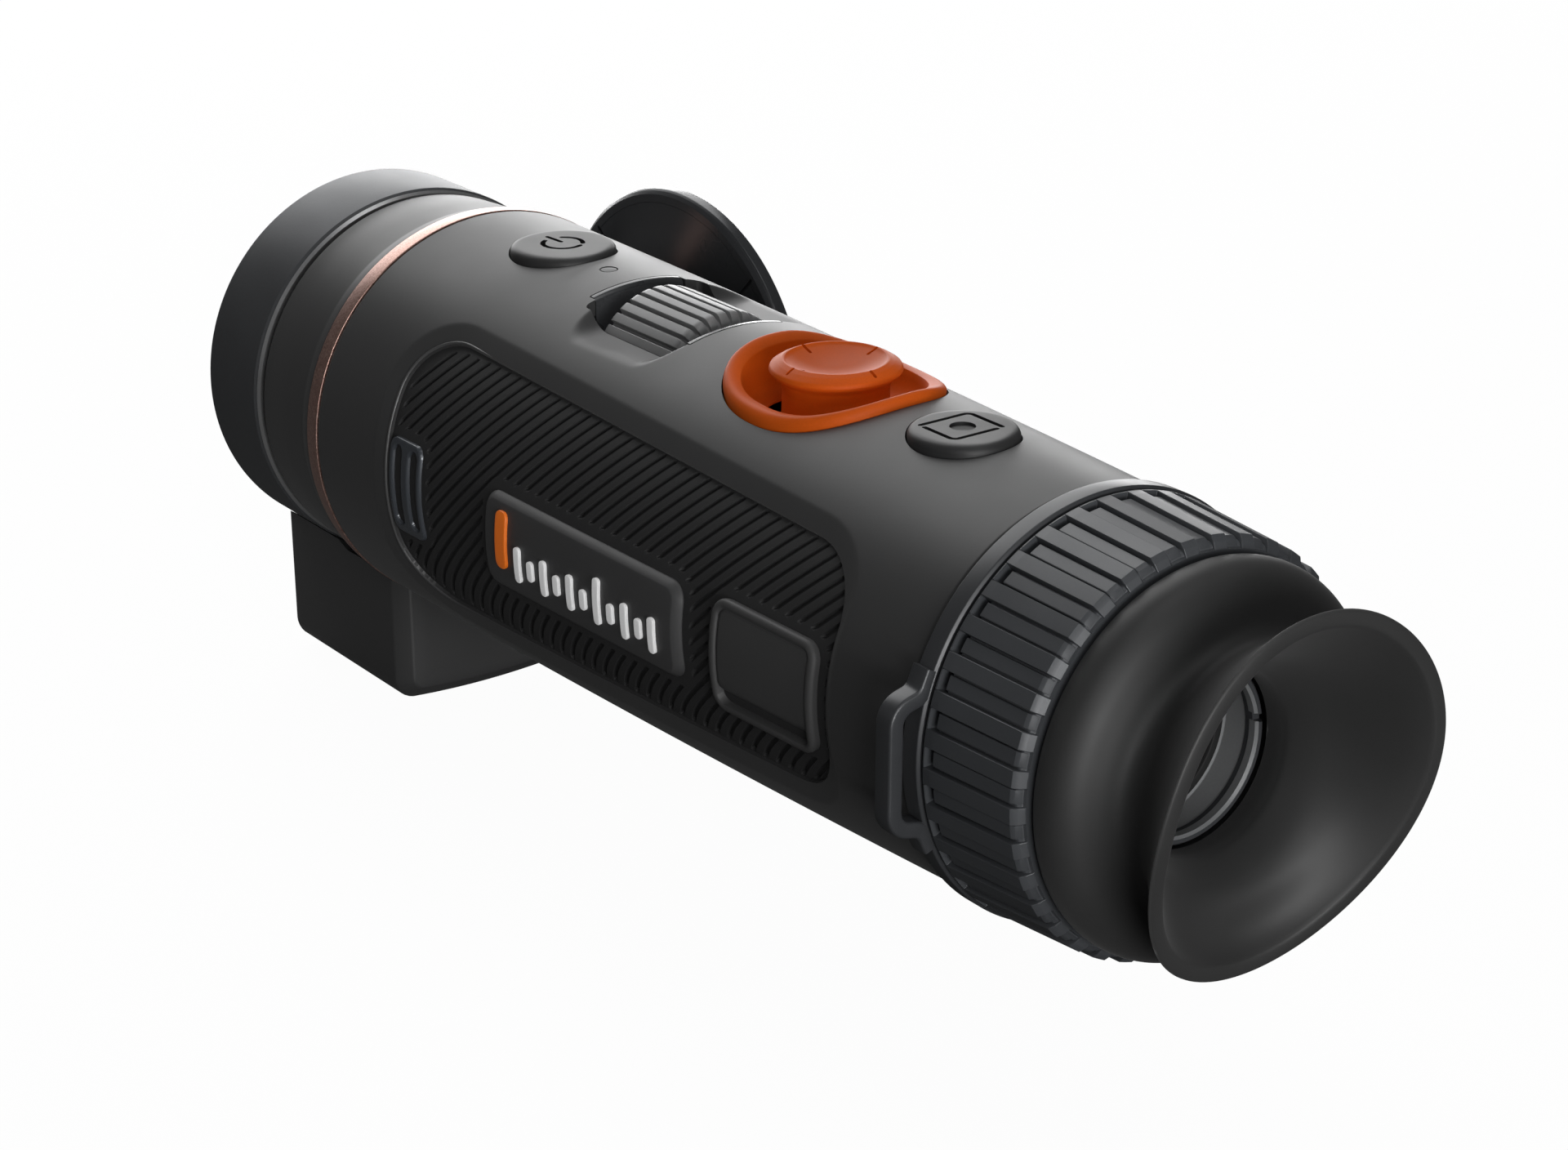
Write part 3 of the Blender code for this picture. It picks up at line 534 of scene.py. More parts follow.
def skin(loops):
    """Solid over a row of equal loops, closed at both ends."""
    count = len(loops[0])
    last = (len(loops) - 1) * count
    points = [point for loop in loops for point in loop]
    faces = [face for start in range(0, last, count)
             for face in band(start, start + count, count)]
    faces.append(tuple(range(count)))
    faces.append(tuple(range(last, last + count))[::-1])
    return points, faces


def closed_sheet(front, back, shape, keep=None):
    """Solid between two grids of points; keep picks the grid's cells."""
    grid = np.arange(len(front)).reshape(shape)
    quads = np.stack([grid[:-1, :-1], grid[1:, :-1], grid[1:, 1:], grid[:-1, 1:]], -1)
    quads = quads.reshape(-1, 4) if keep is None else quads[keep]
    edges = {}
    for quad in quads:
        for i in range(4):
            a, b = int(quad[i]), int(quad[(i + 1) % 4])
            if (b, a) in edges:
                del edges[(b, a)]
            else:
                edges[(a, b)] = True
    count = len(front)
    rim = np.array([(b, a, a + count, b + count) for a, b in edges])
    faces = np.concatenate([quads, quads[:, ::-1] + count, rim])
    used = np.unique(faces)
    index = -np.ones(2 * count, int)
    index[used] = np.arange(len(used))
    return np.concatenate([front, back])[used], index[faces]


def ring_solid(name, outline, rings, mat, replaces=None, *, place, body=BODY, cap=8,
               hole=False, sharp=32.0):
    """Solid over insets of an outline.

    rings: (inset, height) from the bottom outside over the top to the middle; a height may be a
    function of the two outline coordinates. Filled to the centre in cap steps; with hole the
    last ring joins the first.
    """
    loops = [(outline(inset), height) for inset, height in rings]
    last, top = loops[-1]
    count = len(last)
    if not hole:
        middle = last.mean(0)
        loops += [(middle + (last - middle) * (1 - k / cap), top) for k in range(1, cap)]
    faces = [face for i in range(len(loops) - 1)
             for face in band(i * count, (i + 1) * count, count)]
    start = (len(loops) - 1) * count
    if hole:
        faces += band(start, 0, count)
    else:
        tip = start + count
        faces += [(start + i, start + (i + 1) % count, tip) for i in range(count)]
        faces.append(tuple(range(count - 1, -1, -1)))
        loops.append((middle[None], top))
    flat = np.concatenate([loop for loop, _ in loops])
    heights = np.array([height(*point) if callable(height) else height
                        for loop, height in loops for point in loop])
    solid = place(flat[:, 0], flat[:, 1], heights), faces
    return piece(name, solid, mat, replaces, body, sharp)


def cylinder_cutter(radius, start, end, axis="X", centre=(0, 0, 0), seg=48):
    return cutter(turned([(start, 0), (start, radius), (end, radius), (end, 0)],
                         seg, axis, centre))


def prism_cutter(outline, low, high, axis="Z"):
    return cutter(prism(outline, low, high, axis))


def on_side(side):
    """Places (x, arc, height) on the casing's side (-1 left); arc 0 is the horizontal midline."""
    def place(x, arc, height):
        radius = casing_r(x)
        angle = arc / ARC
        return np.stack([x, side * (radius + height) * np.cos(angle),
                         (radius + height) * np.sin(angle)], 1)
    return place


on_left = on_side(-1)


def flat_place(x, y, height):
    return np.stack([x, y, height], 1)


def arc_of(degrees):
    return math.radians(degrees) * ARC


# ------------------------------------------------------------------ grip panel outline
PANEL_FRONT, PANEL_REAR = 17.9, 111.6
PANEL_CORNER = 9.0


def panel_top(x):
    return arc_of(1.0) * (46.2 - 5.0 * (np.asarray(x, float) - 18.0) / 90.0)


def panel_bottom(x):
    return arc_of(1.0) * (-36.0 + 6.6 * (np.asarray(x, float) - 18.0) / 90.0)


def box_distance(x, arc, centre_x, centre_arc, half_x, half_arc, radius):
    """Signed distance to a rounded rectangle, negative inside."""
    dx = np.abs(x - centre_x) - (half_x - radius)
    da = np.abs(arc - centre_arc) - (half_arc - radius)
    outside = np.hypot(np.maximum(dx, 0), np.maximum(da, 0))
    return outside + np.minimum(np.maximum(dx, da), 0) - radius


def panel_distance(x, arc):
    """Signed distance to the grip panel's edge, negative inside."""
    top, bottom = panel_top(x), panel_bottom(x)
    return box_distance(x, arc, (PANEL_FRONT + PANEL_REAR) / 2, (top + bottom) / 2,
                        (PANEL_REAR - PANEL_FRONT) / 2, (top - bottom) / 2, PANEL_CORNER)


def panel_outline(inset=0.0):
    """Polygon of the panel's edge in (x, arc)."""
    corner_steps = 14
    radius = PANEL_CORNER
    runs = []
    # the last number is the count of steps on the straight run after the corner
    for sx, sa, start, run in ((1, 1, 0, 40), (-1, 1, 90, 24), (-1, -1, 180, 40), (1, -1, 270, 24)):
        for i in range(corner_steps + 1):
            angle = math.radians(start + 90 * i / corner_steps)
            x = PANEL_REAR - radius if sx > 0 else PANEL_FRONT + radius
            x += (radius - inset) * math.cos(angle)
            edge_x = min(max(x, PANEL_FRONT), PANEL_REAR)
            arc = panel_top(edge_x) - radius if sa > 0 else panel_bottom(edge_x) + radius
            arc = float(arc + (radius - inset) * math.sin(angle))
            runs.append((np.array((x, arc)), run if i == corner_steps else 1))
    return np.array([a + (b - a) * j / steps
                     for (a, steps), (b, _) in zip(runs, runs[1:] + runs[:1])
                     for j in range(steps)])


# ------------------------------------------------------------------ main casing
BORDER_DEPTH = 0.72              # reached by the slope round the panel
LAND = -1.15                     # panel surface below the casing
SCOOP_Z = 23.8                   # floor of the scoop across the top
SCOOP_FRONT, SCOOP_REAR = 44.5, 56.0
SCOOP_CORNER = 4.2
PAD_Z = 28.0                     # flat tripod pad below the axis
PAD_FRONT, PAD_REAR, PAD_HALF = 50.0, 85.0, 6.9
RIM_R = 0.55
WALL, LEAST_WALL = 2.0, 0.55


def border_dip(x, angle):
    """Sloping border round a side's panel: broad, but narrow at mid-height behind and in front."""
    arc = angle * ARC
    off_middle = np.abs(arc - (panel_top(x) + panel_bottom(x)) / 2)
    width = 2.9 - 1.5 * ease(104, 111, x) * ease(16, 6, off_middle)
    width = width - 0.5 * ease(24, 17.5, x) * ease(14, 4, off_middle)
    across = np.clip(1 - panel_distance(x, arc) / width, 0, 1)
    slope = np.where(across < 0.14, across * across / 0.28, across - 0.07) / 0.93
    return np.where(np.abs(angle) < math.radians(75), -BORDER_DEPTH * slope, 0.0)


def scoop_floor(x):
    """Height of the scoop's floor, with rounded ends; far above the casing elsewhere."""
    x = np.asarray(x, float)
    z = np.full_like(x, SCOOP_Z)
    for past in (SCOOP_FRONT - x, x - SCOOP_REAR):
        past = np.clip(past, 0, SCOOP_CORNER)
        z = z + SCOOP_CORNER - np.sqrt(np.maximum(SCOOP_CORNER * SCOOP_CORNER - past * past, 0))
    reach = SCOOP_CORNER - 0.02
    return np.where((x < SCOOP_FRONT - reach) | (x > SCOOP_REAR + reach), 60.0, z)


def soft_min(a, b, blend):
    h = np.clip(0.5 + 0.5 * (b - a) / blend, 0, 1)
    return b * (1 - h) + a * h - blend * h * (1 - h)


def casing_surface(x, angle):
    """Casing radius; angle runs from -Y up over the top to +Y, -90 to 270 degrees."""
    plain = casing_r(x)
    dip = np.zeros_like(plain + angle)
    for side_angle in (angle, math.pi - angle):
        dip = np.minimum(dip, border_dip(x, side_angle))
    radius = plain + dip
    sine = np.sin(angle)
    # scoop across the top
    top = sine > 0.5
    scoop = np.where(top, scoop_floor(x) / np.maximum(sine, 0.5), 99.0)
    radius = np.where(top & (scoop < radius + 1.5), soft_min(radius, scoop, 0.5), radius)
    # tripod pad underneath
    under = -sine > 0.5
    pad = np.where(under, PAD_Z / np.maximum(-sine, 0.5), 0.0)
    edge = np.maximum(np.abs(radius * np.cos(angle)) - PAD_HALF,
                      np.maximum(PAD_FRONT - x, x - PAD_REAR))
    share = ease(0.35, -0.15, edge)
    radius = np.where(under, radius + (np.maximum(pad, radius) - radius) * share, radius)
    # rounded front and rear rims
    for rim_x, sign in ((CASING_FRONT, 1.0), (CASING_REAR, -1.0)):
        near = np.clip(RIM_R - sign * (x - rim_x), 0, RIM_R)
        radius = radius - (RIM_R - np.sqrt(np.maximum(RIM_R ** 2 - near ** 2, 0)))
    return radius


def graded(zones, coarse, low, high):
    """Breakpoints from low to high; zones are (start, end, step) with a finer step."""
    out = [low]
    while out[-1] < high - 1e-6:
        at = out[-1]
        steps = [fine for start, end, fine in zones if start - coarse <= at < end]
        out.append(min(high, at + min(steps + [coarse])))
    return np.array(out)


CASING_X = graded([(0.45, 1.25, 0.12), (13, 30, 0.32), (37, 62, 0.3), (101, 114.5, 0.32),
                   (49.4, 50.8, 0.2), (84.2, 85.6, 0.2), (125.2, 126, 0.12)],
                  0.75, CASING_FRONT, CASING_REAR)
CASING_DEG = graded([(-41, -26, 0.5), (38, 56, 0.5), (56, 76, 0.55), (104, 124, 0.55),
                     (124, 142, 0.5), (206, 221, 0.5), (252, 258, 0.5), (282, 288, 0.5)],
                    1.25, -90.0, 270.0)[:-1]


def casing_solid():
    x, angle = np.meshgrid(CASING_X, np.radians(CASING_DEG), indexing="ij")
    outer_r = casing_surface(x, angle)
    inner_r = np.minimum(casing_r(x) - WALL, outer_r - LEAST_WALL)
    points = [np.stack([x, -r * np.cos(angle), r * np.sin(angle)], -1).reshape(-1, 3)
              for r in (outer_r, inner_r)]
    grid = np.arange(x.size).reshape(x.shape)
    beside = np.roll(grid, -1, 1)
    inner = x.size
    faces = [
        np.stack([grid[:-1], grid[1:], beside[1:], beside[:-1]], -1).reshape(-1, 4),
        np.stack([grid[:-1], beside[:-1], beside[1:], grid[1:]], -1).reshape(-1, 4) + inner,
        np.stack([grid[0], beside[0], beside[0] + inner, grid[0] + inner], -1),
        np.stack([beside[-1], grid[-1], grid[-1] + inner, beside[-1] + inner], -1),
    ]
    return np.concatenate(points), np.concatenate(faces)


# Focus window outline: x, y, corner radius
WINDOW = fillet([(37.42, -7.28, 0.3), (38.98, -7.28, 0.15), (38.98, -9.1, 0.9), (58.95, -9.1, 0.9),
                 (58.95, -7.5, 0.15), (60.4, -7.5, 0.3), (60.4, 6.8, 0.3), (58.95, 6.8, 0.15),
                 (58.95, 9.1, 0.9), (38.98, 9.1, 0.9), (38.98, 6.6, 0.15), (37.42, 6.6, 0.3)], 4)
STICK_X = 81.0


def stick_radius(angle, half_x=13.8, half_y=13.05, power=2.3, shaved=1.1):
    """Superellipse with one flank shaved."""
    full = (abs(math.cos(angle) / half_x) ** power
            + abs(math.sin(angle) / half_y) ** power) ** (-1 / power)
    return -shaved * bulge(angle, 0.85, 0.55) + full


STICK_OUTLINE = polar_outline((STICK_X + 0.1, -0.1), stick_radius, 80)
POWER_OUTLINE = egg((20.2, -0.1), radius=7.05, tip=0.55, at=-18)
CAMERA_OUTLINE = egg((105.1, -0.3), radius=6.55, tip=0.5, at=-25)
STATUS_PLACE = (31.8, -0.5, 0)
TRIPOD_PLACE = (60.0, 0, 0)

casing = piece("casing_shell", casing_solid(), "soft", "main_casing", sharp=34)
casing_cutters = []
for side in (-1, 1):
    points, faces = prism(panel_outline(), -4.5, 40.0)
    casing_cutters.append(cutter((on_side(side)(*points.T), faces)))
for outline in (WINDOW, STICK_OUTLINE(-0.22), POWER_OUTLINE(-0.2), CAMERA_OUTLINE(-0.2)):
    casing_cutters.append(prism_cutter(outline, 10, 40))
casing_cutters += [
    cylinder_cutter(1.22, 10, 40, "Z", STATUS_PLACE),
    cylinder_cutter(3.95, -40, -20, "Z", TRIPOD_PLACE),
    cylinder_cutter(1.9, -40, -20, "Z", (75.0, 0, 0)),
]
cut(casing, casing_cutters, sharp=34)

# near-black backing under the gaps round the controls: painted shade that keeps the gaps dark
backing = lathe("inner_liner", [(1.2, 24.6, 0), (60, 24.0, 0), (124.5, 22.2, 0), (124.5, 21.2, 0),
                                (60, 23.0, 0), (1.2, 23.6, 0)],
                96, "black", steps=2)
cut(backing, [
    prism_cutter(STICK_OUTLINE(-0.3), 5, 40),
    prism_cutter(CAMERA_OUTLINE(-0.3), 5, 40),
    prism_cutter(rounded_rect(48.9, 0, 11.9, 9.6, 1.3, steps=3), 5, 40),
    prism_cutter(rounded_rect(60.0, 0, 5.0, 5.0, 4.9, steps=5), -40, -5),
], sharp=34)

# ------------------------------------------------------------------ grip panels
PITCH = 2.367
GROOVE_HALF, GROOVE_DEPTH = 0.37, 0.48
# Points across one groove, measured from its centre line
GROOVE_OFFSETS = [-0.62, -0.40, -0.352, -0.305, -0.25, -0.12, 0.0,
                  0.12, 0.25, 0.305, 0.352, 0.40, 0.62]
# Groove's angle to the optical axis at places up the side, both in degrees
LEAN_AT = np.array([-42, -36, -28, -21, -14, 0, 14, 28, 42, 52], float)
LEAN = np.array([66, 60, 52, 44.5, 42, 42, 45, 48, 54, 58], float)

# Centre line of one groove, summed from its slope; it passes x = 35.2 at 28 degrees
LINE_DEG = np.linspace(-42, 52, 941)
line_slope = 1 / np.tan(np.radians(np.interp(LINE_DEG, LEAN_AT, LEAN)))
LINE_X = np.concatenate([[0], np.cumsum((line_slope[1:] + line_slope[:-1]) / 2
                                        * math.radians(LINE_DEG[1] - LINE_DEG[0]) * ARC)])
LINE_X = LINE_X - np.interp(28.0, LINE_DEG, LINE_X) + 35.2

# Centre and half size, in (x, arc), of the pieces set into the left panel
PLATE_CENTRE, PLATE_HALF = (63.0, 0.0), (21.0, arc_of(14.0))
PORT_CENTRE, PORT_HALF = (99.9, arc_of(0.3)), (9.6, arc_of(16.0))
ANCHOR_CENTRE, ANCHOR_HALF = (22.0, arc_of(0.2)), (4.1, arc_of(14.8))
# centre, half size, plain margin round it, corner radius
FITTINGS = [(PLATE_CENTRE, PLATE_HALF, 1.45, 2.5), (PORT_CENTRE, PORT_HALF, 1.25, 2.4),
            (ANCHOR_CENTRE, ANCHOR_HALF, 1.0, 1.8)]


def panel_height(x, arc, across, fitted):
    """Panel surface; across is the distance from the groove's centre line."""
    room = -panel_distance(x, arc) - 0.25 - 0.75 * ease(40, 22, x)
    if fitted:
        for centre, half, margin, radius in FITTINGS:
            room = np.minimum(room, box_distance(x, arc, *centre, *half, radius) - margin)
    end = np.maximum(0.0, GROOVE_HALF - room)
    distance = np.sqrt(across * across + end * end) - GROOVE_HALF
    return LAND - GROOVE_DEPTH * ease(0.03, -0.13, distance)


def grip_panel(name, side, fitted, replaces):
    arcs = np.arange(panel_bottom(18.0) - 1.0, panel_top(18.0) + 1.0, 0.24)
    degrees = np.degrees(arcs / ARC)
    line = np.interp(degrees, LINE_DEG, LINE_X)
    lean_sine = np.sin(np.radians(np.interp(degrees, LEAN_AT, LEAN)))
    first = int((16 - LINE_X.max()) / PITCH) - 2
    last = int((113 - LINE_X.min()) / PITCH) + 2
    columns, across = [], []
    for k in range(first, last + 1):
        for offset in GROOVE_OFFSETS:
            columns.append(line + k * PITCH + offset / lean_sine)
            across.append(offset)
        # middle of the rib, well clear of either groove
        columns.append(line + (k + 0.5) * PITCH)
        across.append(0.9)
    x = np.array(columns)
    arc = np.tile(arcs, (len(x), 1))
    height = panel_height(x, arc, np.array(across)[:, None], fitted)
    front = on_side(side)(x.ravel(), arc.ravel(), height.ravel())
    back = on_side(side)(x.ravel(), arc.ravel(), np.full(x.size, LAND - 0.75))
    edge = panel_distance(x, arc)
    keep = np.minimum.reduce([edge[:-1, :-1], edge[1:, :-1], edge[1:, 1:], edge[:-1, 1:]]) < 0.0
    piece(name, closed_sheet(front, back, x.shape, keep), "rubber", replaces,
          sharp=40)


def panel_lip(name, side):
    """Fine raised edge round the panel's recess, highest along the front."""
    def fading(base, fade):
        return lambda x, arc: base - fade * float(ease(22, 38, x))

    rings = [(-0.03, -1.7), (-0.03, fading(-0.74, 0.1)), (-0.10, fading(-0.54, 0.22)),
             (-0.24, fading(-0.47, 0.27)), (-0.38, fading(-0.54, 0.22)),
             (-0.5, fading(-0.78, 0.06)), (-0.5, -1.7)]
    ring_solid(name, panel_outline, rings, "lip", place=on_side(side), hole=True,
               sharp=60)


panel_lip("panel_lip_left", -1)
panel_lip("panel_lip_right", 1)
grip_panel("grip_left", -1, True, "left_grip_panel")
grip_panel("grip_right", 1, False, "right_grip_panel")

# ------------------------------------------------------------------ nameplate and emblem
PLATE_TOP = -0.12
ring_solid("nameplate_body", dense_rect(PLATE_CENTRE, PLATE_HALF, 2.5, step=0.9),
           [(0.0, LAND - 0.6), (0.0, LAND + 0.10), (0.05, LAND + 0.28), (0.92, PLATE_TOP - 0.06),
            (1.02, PLATE_TOP - 0.015), (1.14, PLATE_TOP)],
           "plate", "nameplate", place=on_left, cap=14, sharp=50)


def emblem_bar(name, centre, half, radius, mat):
    """Upright raised bar on the nameplate."""
    top, bevel = PLATE_TOP + 0.42, 0.10
    ring_solid(name, dense_rect(centre, half, radius, step=0.7, steps=4),
               [(0.0, PLATE_TOP - 0.15), (0.0, top - bevel), (bevel * 0.3, top - bevel * 0.3),
                (bevel, top)],
               mat, place=on_left, cap=3, sharp=50)


# x and half height of each pale bar; the tall one sits higher
EMBLEM_BARS = [(50.6, 2.3), (53.5, 1.3), (56.4, 2.3), (59.3, 1.3), (62.2, 2.3), (65.1, 1.3),
               (68.0, 3.0), (70.9, 1.3), (73.8, 2.3), (76.7, 1.3), (79.4, 2.3)]
emblem_bar("emblem_lead_0", (46.9, 0.9), (1.15, 3.7), 0.9, "inlay")
for i, (x, half_height) in enumerate(EMBLEM_BARS):
    middle = -1.3 if half_height < 3 else -0.6
    emblem_bar("emblem_bar_%d" % i, (x, middle), (0.62, half_height), 0.5, "pale")

# ------------------------------------------------------------------ port cover
PORT_BOTTOM = PORT_CENTRE[1] - PORT_HALF[1]


def port_floor(sunk=0.0):
    """Height of the cover inside its rim: it falls away along the lower edge."""
    def height(x, arc):
        return -0.36 - float(ease(2.0, 0.2, arc - (PORT_BOTTOM + 1.75))) - sunk
    return height


ring_solid("port_cover_flap", dense_rect(PORT_CENTRE, PORT_HALF, 2.4, step=0.8),
           [(0.0, LAND - 0.45), (0.0, -0.62), (0.10, -0.34), (0.30, -0.14), (0.55, -0.05),
            (0.80, -0.05), (1.02, -0.13), (1.14, -0.28), (1.18, port_floor(0.12)),
            (1.28, port_floor(0.15)), (1.42, port_floor(0.12)), (1.50, port_floor(0.02)),
            (1.7, port_floor())],
           "port", "port_cover", place=on_left, body="port_flap", cap=16,
           sharp=50)


# ------------------------------------------------------------------ strap anchor
def strap_anchor():
    """Plate with two slots and a round bar between them."""
    (cx, ca), (half_x, half_arc) = ANCHOR_CENTRE, ANCHOR_HALF
    x, arc = np.meshgrid(np.arange(cx - half_x - 0.15, cx + half_x + 0.16, 0.12),
                         np.arange(ca - half_arc - 0.15, ca + half_arc + 0.16, 0.14),
                         indexing="ij")
    top = LAND + 0.45
    outer = box_distance(x, arc, cx, ca, half_x, half_arc, 1.8)
    height = top - 0.9 * ease(-0.55, 0.02, outer) ** 1.4
    for slot_x in (cx - 1.85, cx + 1.95):
        slot = box_distance(x, arc, slot_x, ca + 0.1, 0.98, 5.35, 0.97)
        height = np.minimum(height, top - 2.1 * ease(0.28, -0.55, slot))
    front = on_left(x.ravel(), arc.ravel(), height.ravel())
    back = on_left(x.ravel(), arc.ravel(), np.full(x.size, LAND - 2.2))
    piece("strap_anchor_bar", closed_sheet(front, back, x.shape), "anchor",
          "strap_anchor", sharp=50)


strap_anchor()

# ------------------------------------------------------------------ objective end
lathe("bezel_ring",
      [(-33.5, 23.6, 0.2), (-33.5, 26.8, 0.7), (-19.9, 26.8, 0.12), (-19.45, 26.45, 0),
       (-19.45, 23.4, 0.2), (-28.8, 23.4, 0.1), (-28.8, 23.9, 0.1), (-30.4, 23.9, 0.1),
       (-30.4, 23.5, 0.1)],
      160, "bezel", "objective_bezel")
lathe("bezel_bright_edge",
      [(-19.40, 24.0, 0), (-19.40, 26.53, 0), (-19.0, 26.18, 0), (-19.0, 24.0, 0)],
      192, "edge")
lathe("bezel_gap_ring", [(-18.8, 23.6, 0), (-18.8, 25.5, 0), (-16.6, 25.5, 0), (-16.6, 23.6, 0)],
      120, "black", "bezel_seal")
lathe("collar",
      [(-18.15, 24.4, 0.1), (-18.15, 26.25, 0.5), (-10, 26.75, 6.0), (-5.2, 27.05, 4.0),
       (-2.85, 27.62, 0.22), (-2.72, 24.4, 0.1)],
      160, "soft", "front_collar")
lathe("accent_band",
      [(-2.66, 24.6, 0), (-2.66, 27.80, 0.10), (0.36, 28.08, 0.10), (0.36, 24.6, 0)],
      200, "copper", "accent_ring")
lathe("lens_retainer_ring",
      [(-28.4, 20.6, 0.3), (-28.4, 23.1, 0.2), (-26.6, 23.1, 0.1), (-26.6, 20.0, 0.3)],
      120, "bezel", "front_lens_retainer")
lens("front_lens", back=-19.2, apex=-24.6, sag=2.4, radius=19.9, rings=22, seg=96,
     mat="germanium", replaces="objective_front_lens")

# ------------------------------------------------------------------ rangefinder block
BLOCK_HALF, BLOCK_BOTTOM, BLOCK_TOP = 15.5, -43.1, -17.0
BLOCK_BOW = 0.55  # the bottom's sag at its middle
FINDER_Z = -35.0
FINDERS = [("emitter", -7.2), ("receiver", 7.2)]


def block_outline(inset):
    """Outline in (y, z): straight sides, slightly bowed bottom, rounded lower corners."""
    half = BLOCK_HALF - inset
    bottom = BLOCK_BOTTOM + inset
    radius = max(0.3, 3.4 - inset * 0.8)
    corner_y = half - radius
    corner_z = bottom + BLOCK_BOW + radius
    out = arc_points((-corner_y, corner_z), radius, 180, 270, 8)
    for i in range(1, 24):
        y = -corner_y + 2 * corner_y * i / 24
        out.append((y, bottom + BLOCK_BOW * (y / corner_y) ** 2))
    out += arc_points((corner_y, corner_z), radius, 270, 360, 8)
    steps = 6
    rise = BLOCK_TOP - corner_z
    out += [(half, corner_z + rise * i / steps) for i in range(1, steps)]
    out += [(half - 2 * half * i / steps, BLOCK_TOP) for i in range(steps + 1)]
    out += [(-half, BLOCK_TOP - rise * i / steps) for i in range(1, steps)]
    return np.array(out)


block = ring_solid("rangefinder_block", block_outline,
                   [(0.9, -33.5), (0.45, -33.38), (0.14, -33.1), (0.0, -32.6), (0.0, -4.1),
                    (0.05, -3.85), (0.22, -3.6), (1.75, -1.9), (1.95, -1.75), (2.2, -1.7)],
                   "soft", "rangefinder_housing",
                   place=lambda y, z, x: np.stack([x, y, z], 1), cap=5, sharp=40)
# saddle that clears the objective, then the two windows
saddle = cutter(turned([(-60, 0), (-60, 27.0), (-18.6, 27.0), (-16, 27.75), (30, 27.75), (30, 0)],
                       128))
cut(block, [saddle] + [cylinder_cutter(5.0, -40, -26, "X", (0, y, FINDER_Z)) for _, y in FINDERS],
    sharp=40)
for kind, y in FINDERS:
    lathe("rf_%s_trim" % kind,
          [(-33.75, 4.1, 0.1), (-33.75, 4.75, 0.25), (-30.5, 4.75, 0), (-30.5, 4.1, 0.1)],
          48, "bezel", centre=(0, y, FINDER_Z))
    lens("rf_%s_lens" % kind, back=-30.4, apex=-32.7, sag=0.9, radius=4.05, rings=9, seg=48,
         mat="glass", replaces="rangefinder_%s_lens" % kind,
         centre=(0, y, FINDER_Z))

# ------------------------------------------------------------------ focus window liner
FOCUS_AXIS = (0, 0, 18.0)


def window_liner(name, plain_x, chamfer_x, y_low, y_high, replaces=None):
    """Upright plate across the window, its top following the casing, with one chamfered face."""
    chamfer = 0.42
    toward = math.copysign(1.0, chamfer_x - plain_x)
    # x and depth below the casing, over the top of the plate
    section = sorted([(plain_x, 0.14), (plain_x + toward * 0.10, 0.02),
                      (chamfer_x - toward * (chamfer + 0.1), 0.02),
                      (chamfer_x - toward * chamfer, 0.06),
                      (chamfer_x - toward * 0.05, chamfer), (chamfer_x, chamfer + 0.12)])
    loops = []
    for y in np.linspace(y_low, y_high, 33):
        top = [(x, y, math.sqrt((float(casing_r(x)) + 0.02 - depth) ** 2 - y * y))
               for x, depth in section]
        loops.append([(section[0][0], y, 10.0)] + top + [(section[-1][0], y, 10.0)])
    piece(name, skin(loops), "liner", replaces, sharp=25)


window_liner("focus_window_front", 37.55, 38.75, -7.1, 6.4, "focus_wheel_frame")
window_liner("focus_window_rear", 60.25, 59.15, -7.3, 6.6)
for sign, side in ((-1, "l"), (1, "r")):
    inner_y, outer_y = sign * 8.75, sign * 9.05
    plate = piece("focus_window_side_" + side,
                  prism([(38.0, inner_y), (59.8, inner_y), (59.8, outer_y), (38.0, outer_y)],
                        15.0, 23.35),
                  "liner", sharp=25)
    cut(plate, [cylinder_cutter(10.25, 30, 70, "X", FOCUS_AXIS)], sharp=25)


# ------------------------------------------------------------------ ribbed rings
def ribbed_ring(name, stations, ribs, profile, phase, inner, mat, body, replaces, centre, sharp):
    """Ribbed ring round X.

    stations: (x, radius, shape); profile(shape) lists (fraction of a pitch, drop) over one rib.
    """
    turns = [phase + 2 * math.pi * (k + fraction) / ribs
             for k in range(ribs) for fraction, _ in profile(stations[0][2])]
    count = len(turns)

    def ring(x, radii):
        return [(x, r * math.cos(a), r * math.sin(a)) for r, a in zip(radii, turns)]

    points = []
    for x, radius, shape in stations:
        points += ring(x, [radius - drop for _, drop in profile(shape)] * ribs)
    for x in (stations[0][0], stations[-1][0]):
        points += ring(x, [inner] * count)
    base = len(stations) * count
    last = base - count
    faces = []
    for start in range(0, last, count):
        for j in range(count):
            k = (j + 1) % count
            faces.append((start + j, start + count + j, start + count + k, start + k))
    for j in range(count):
        k = (j + 1) % count
        faces.append((j, k, base + k, base + j))
        faces.append((last + k, last + j, base + count + j, base + count + k))
        faces.append((base + j, base + k, base + count + k, base + count + j))
    piece(name, (np.array(points) + np.array(centre), faces), mat, replaces,
          body, sharp)


def mirrored(half, middle):
    """Rib profile from its half before the middle."""
    return half + [middle] + [(-fraction, drop) for fraction, drop in half[::-1]]


# ------------------------------------------------------------------ focus wheel
WHEEL_RIBS = 34


def wheel_profile(strength):
    groove, bevel = 0.135, 0.03
    depth = 0.85 * strength
    return mirrored([(-0.5 + groove * 0.7, depth), (-0.5 + groove, depth * 0.9),
                     (-0.5 + groove + 0.02, depth * 0.35), (-0.5 + groove + bevel, depth * 0.06),
                     (-0.5 + groove + bevel * 2.2, 0.0)],
                    (0.0, -0.02 * strength))


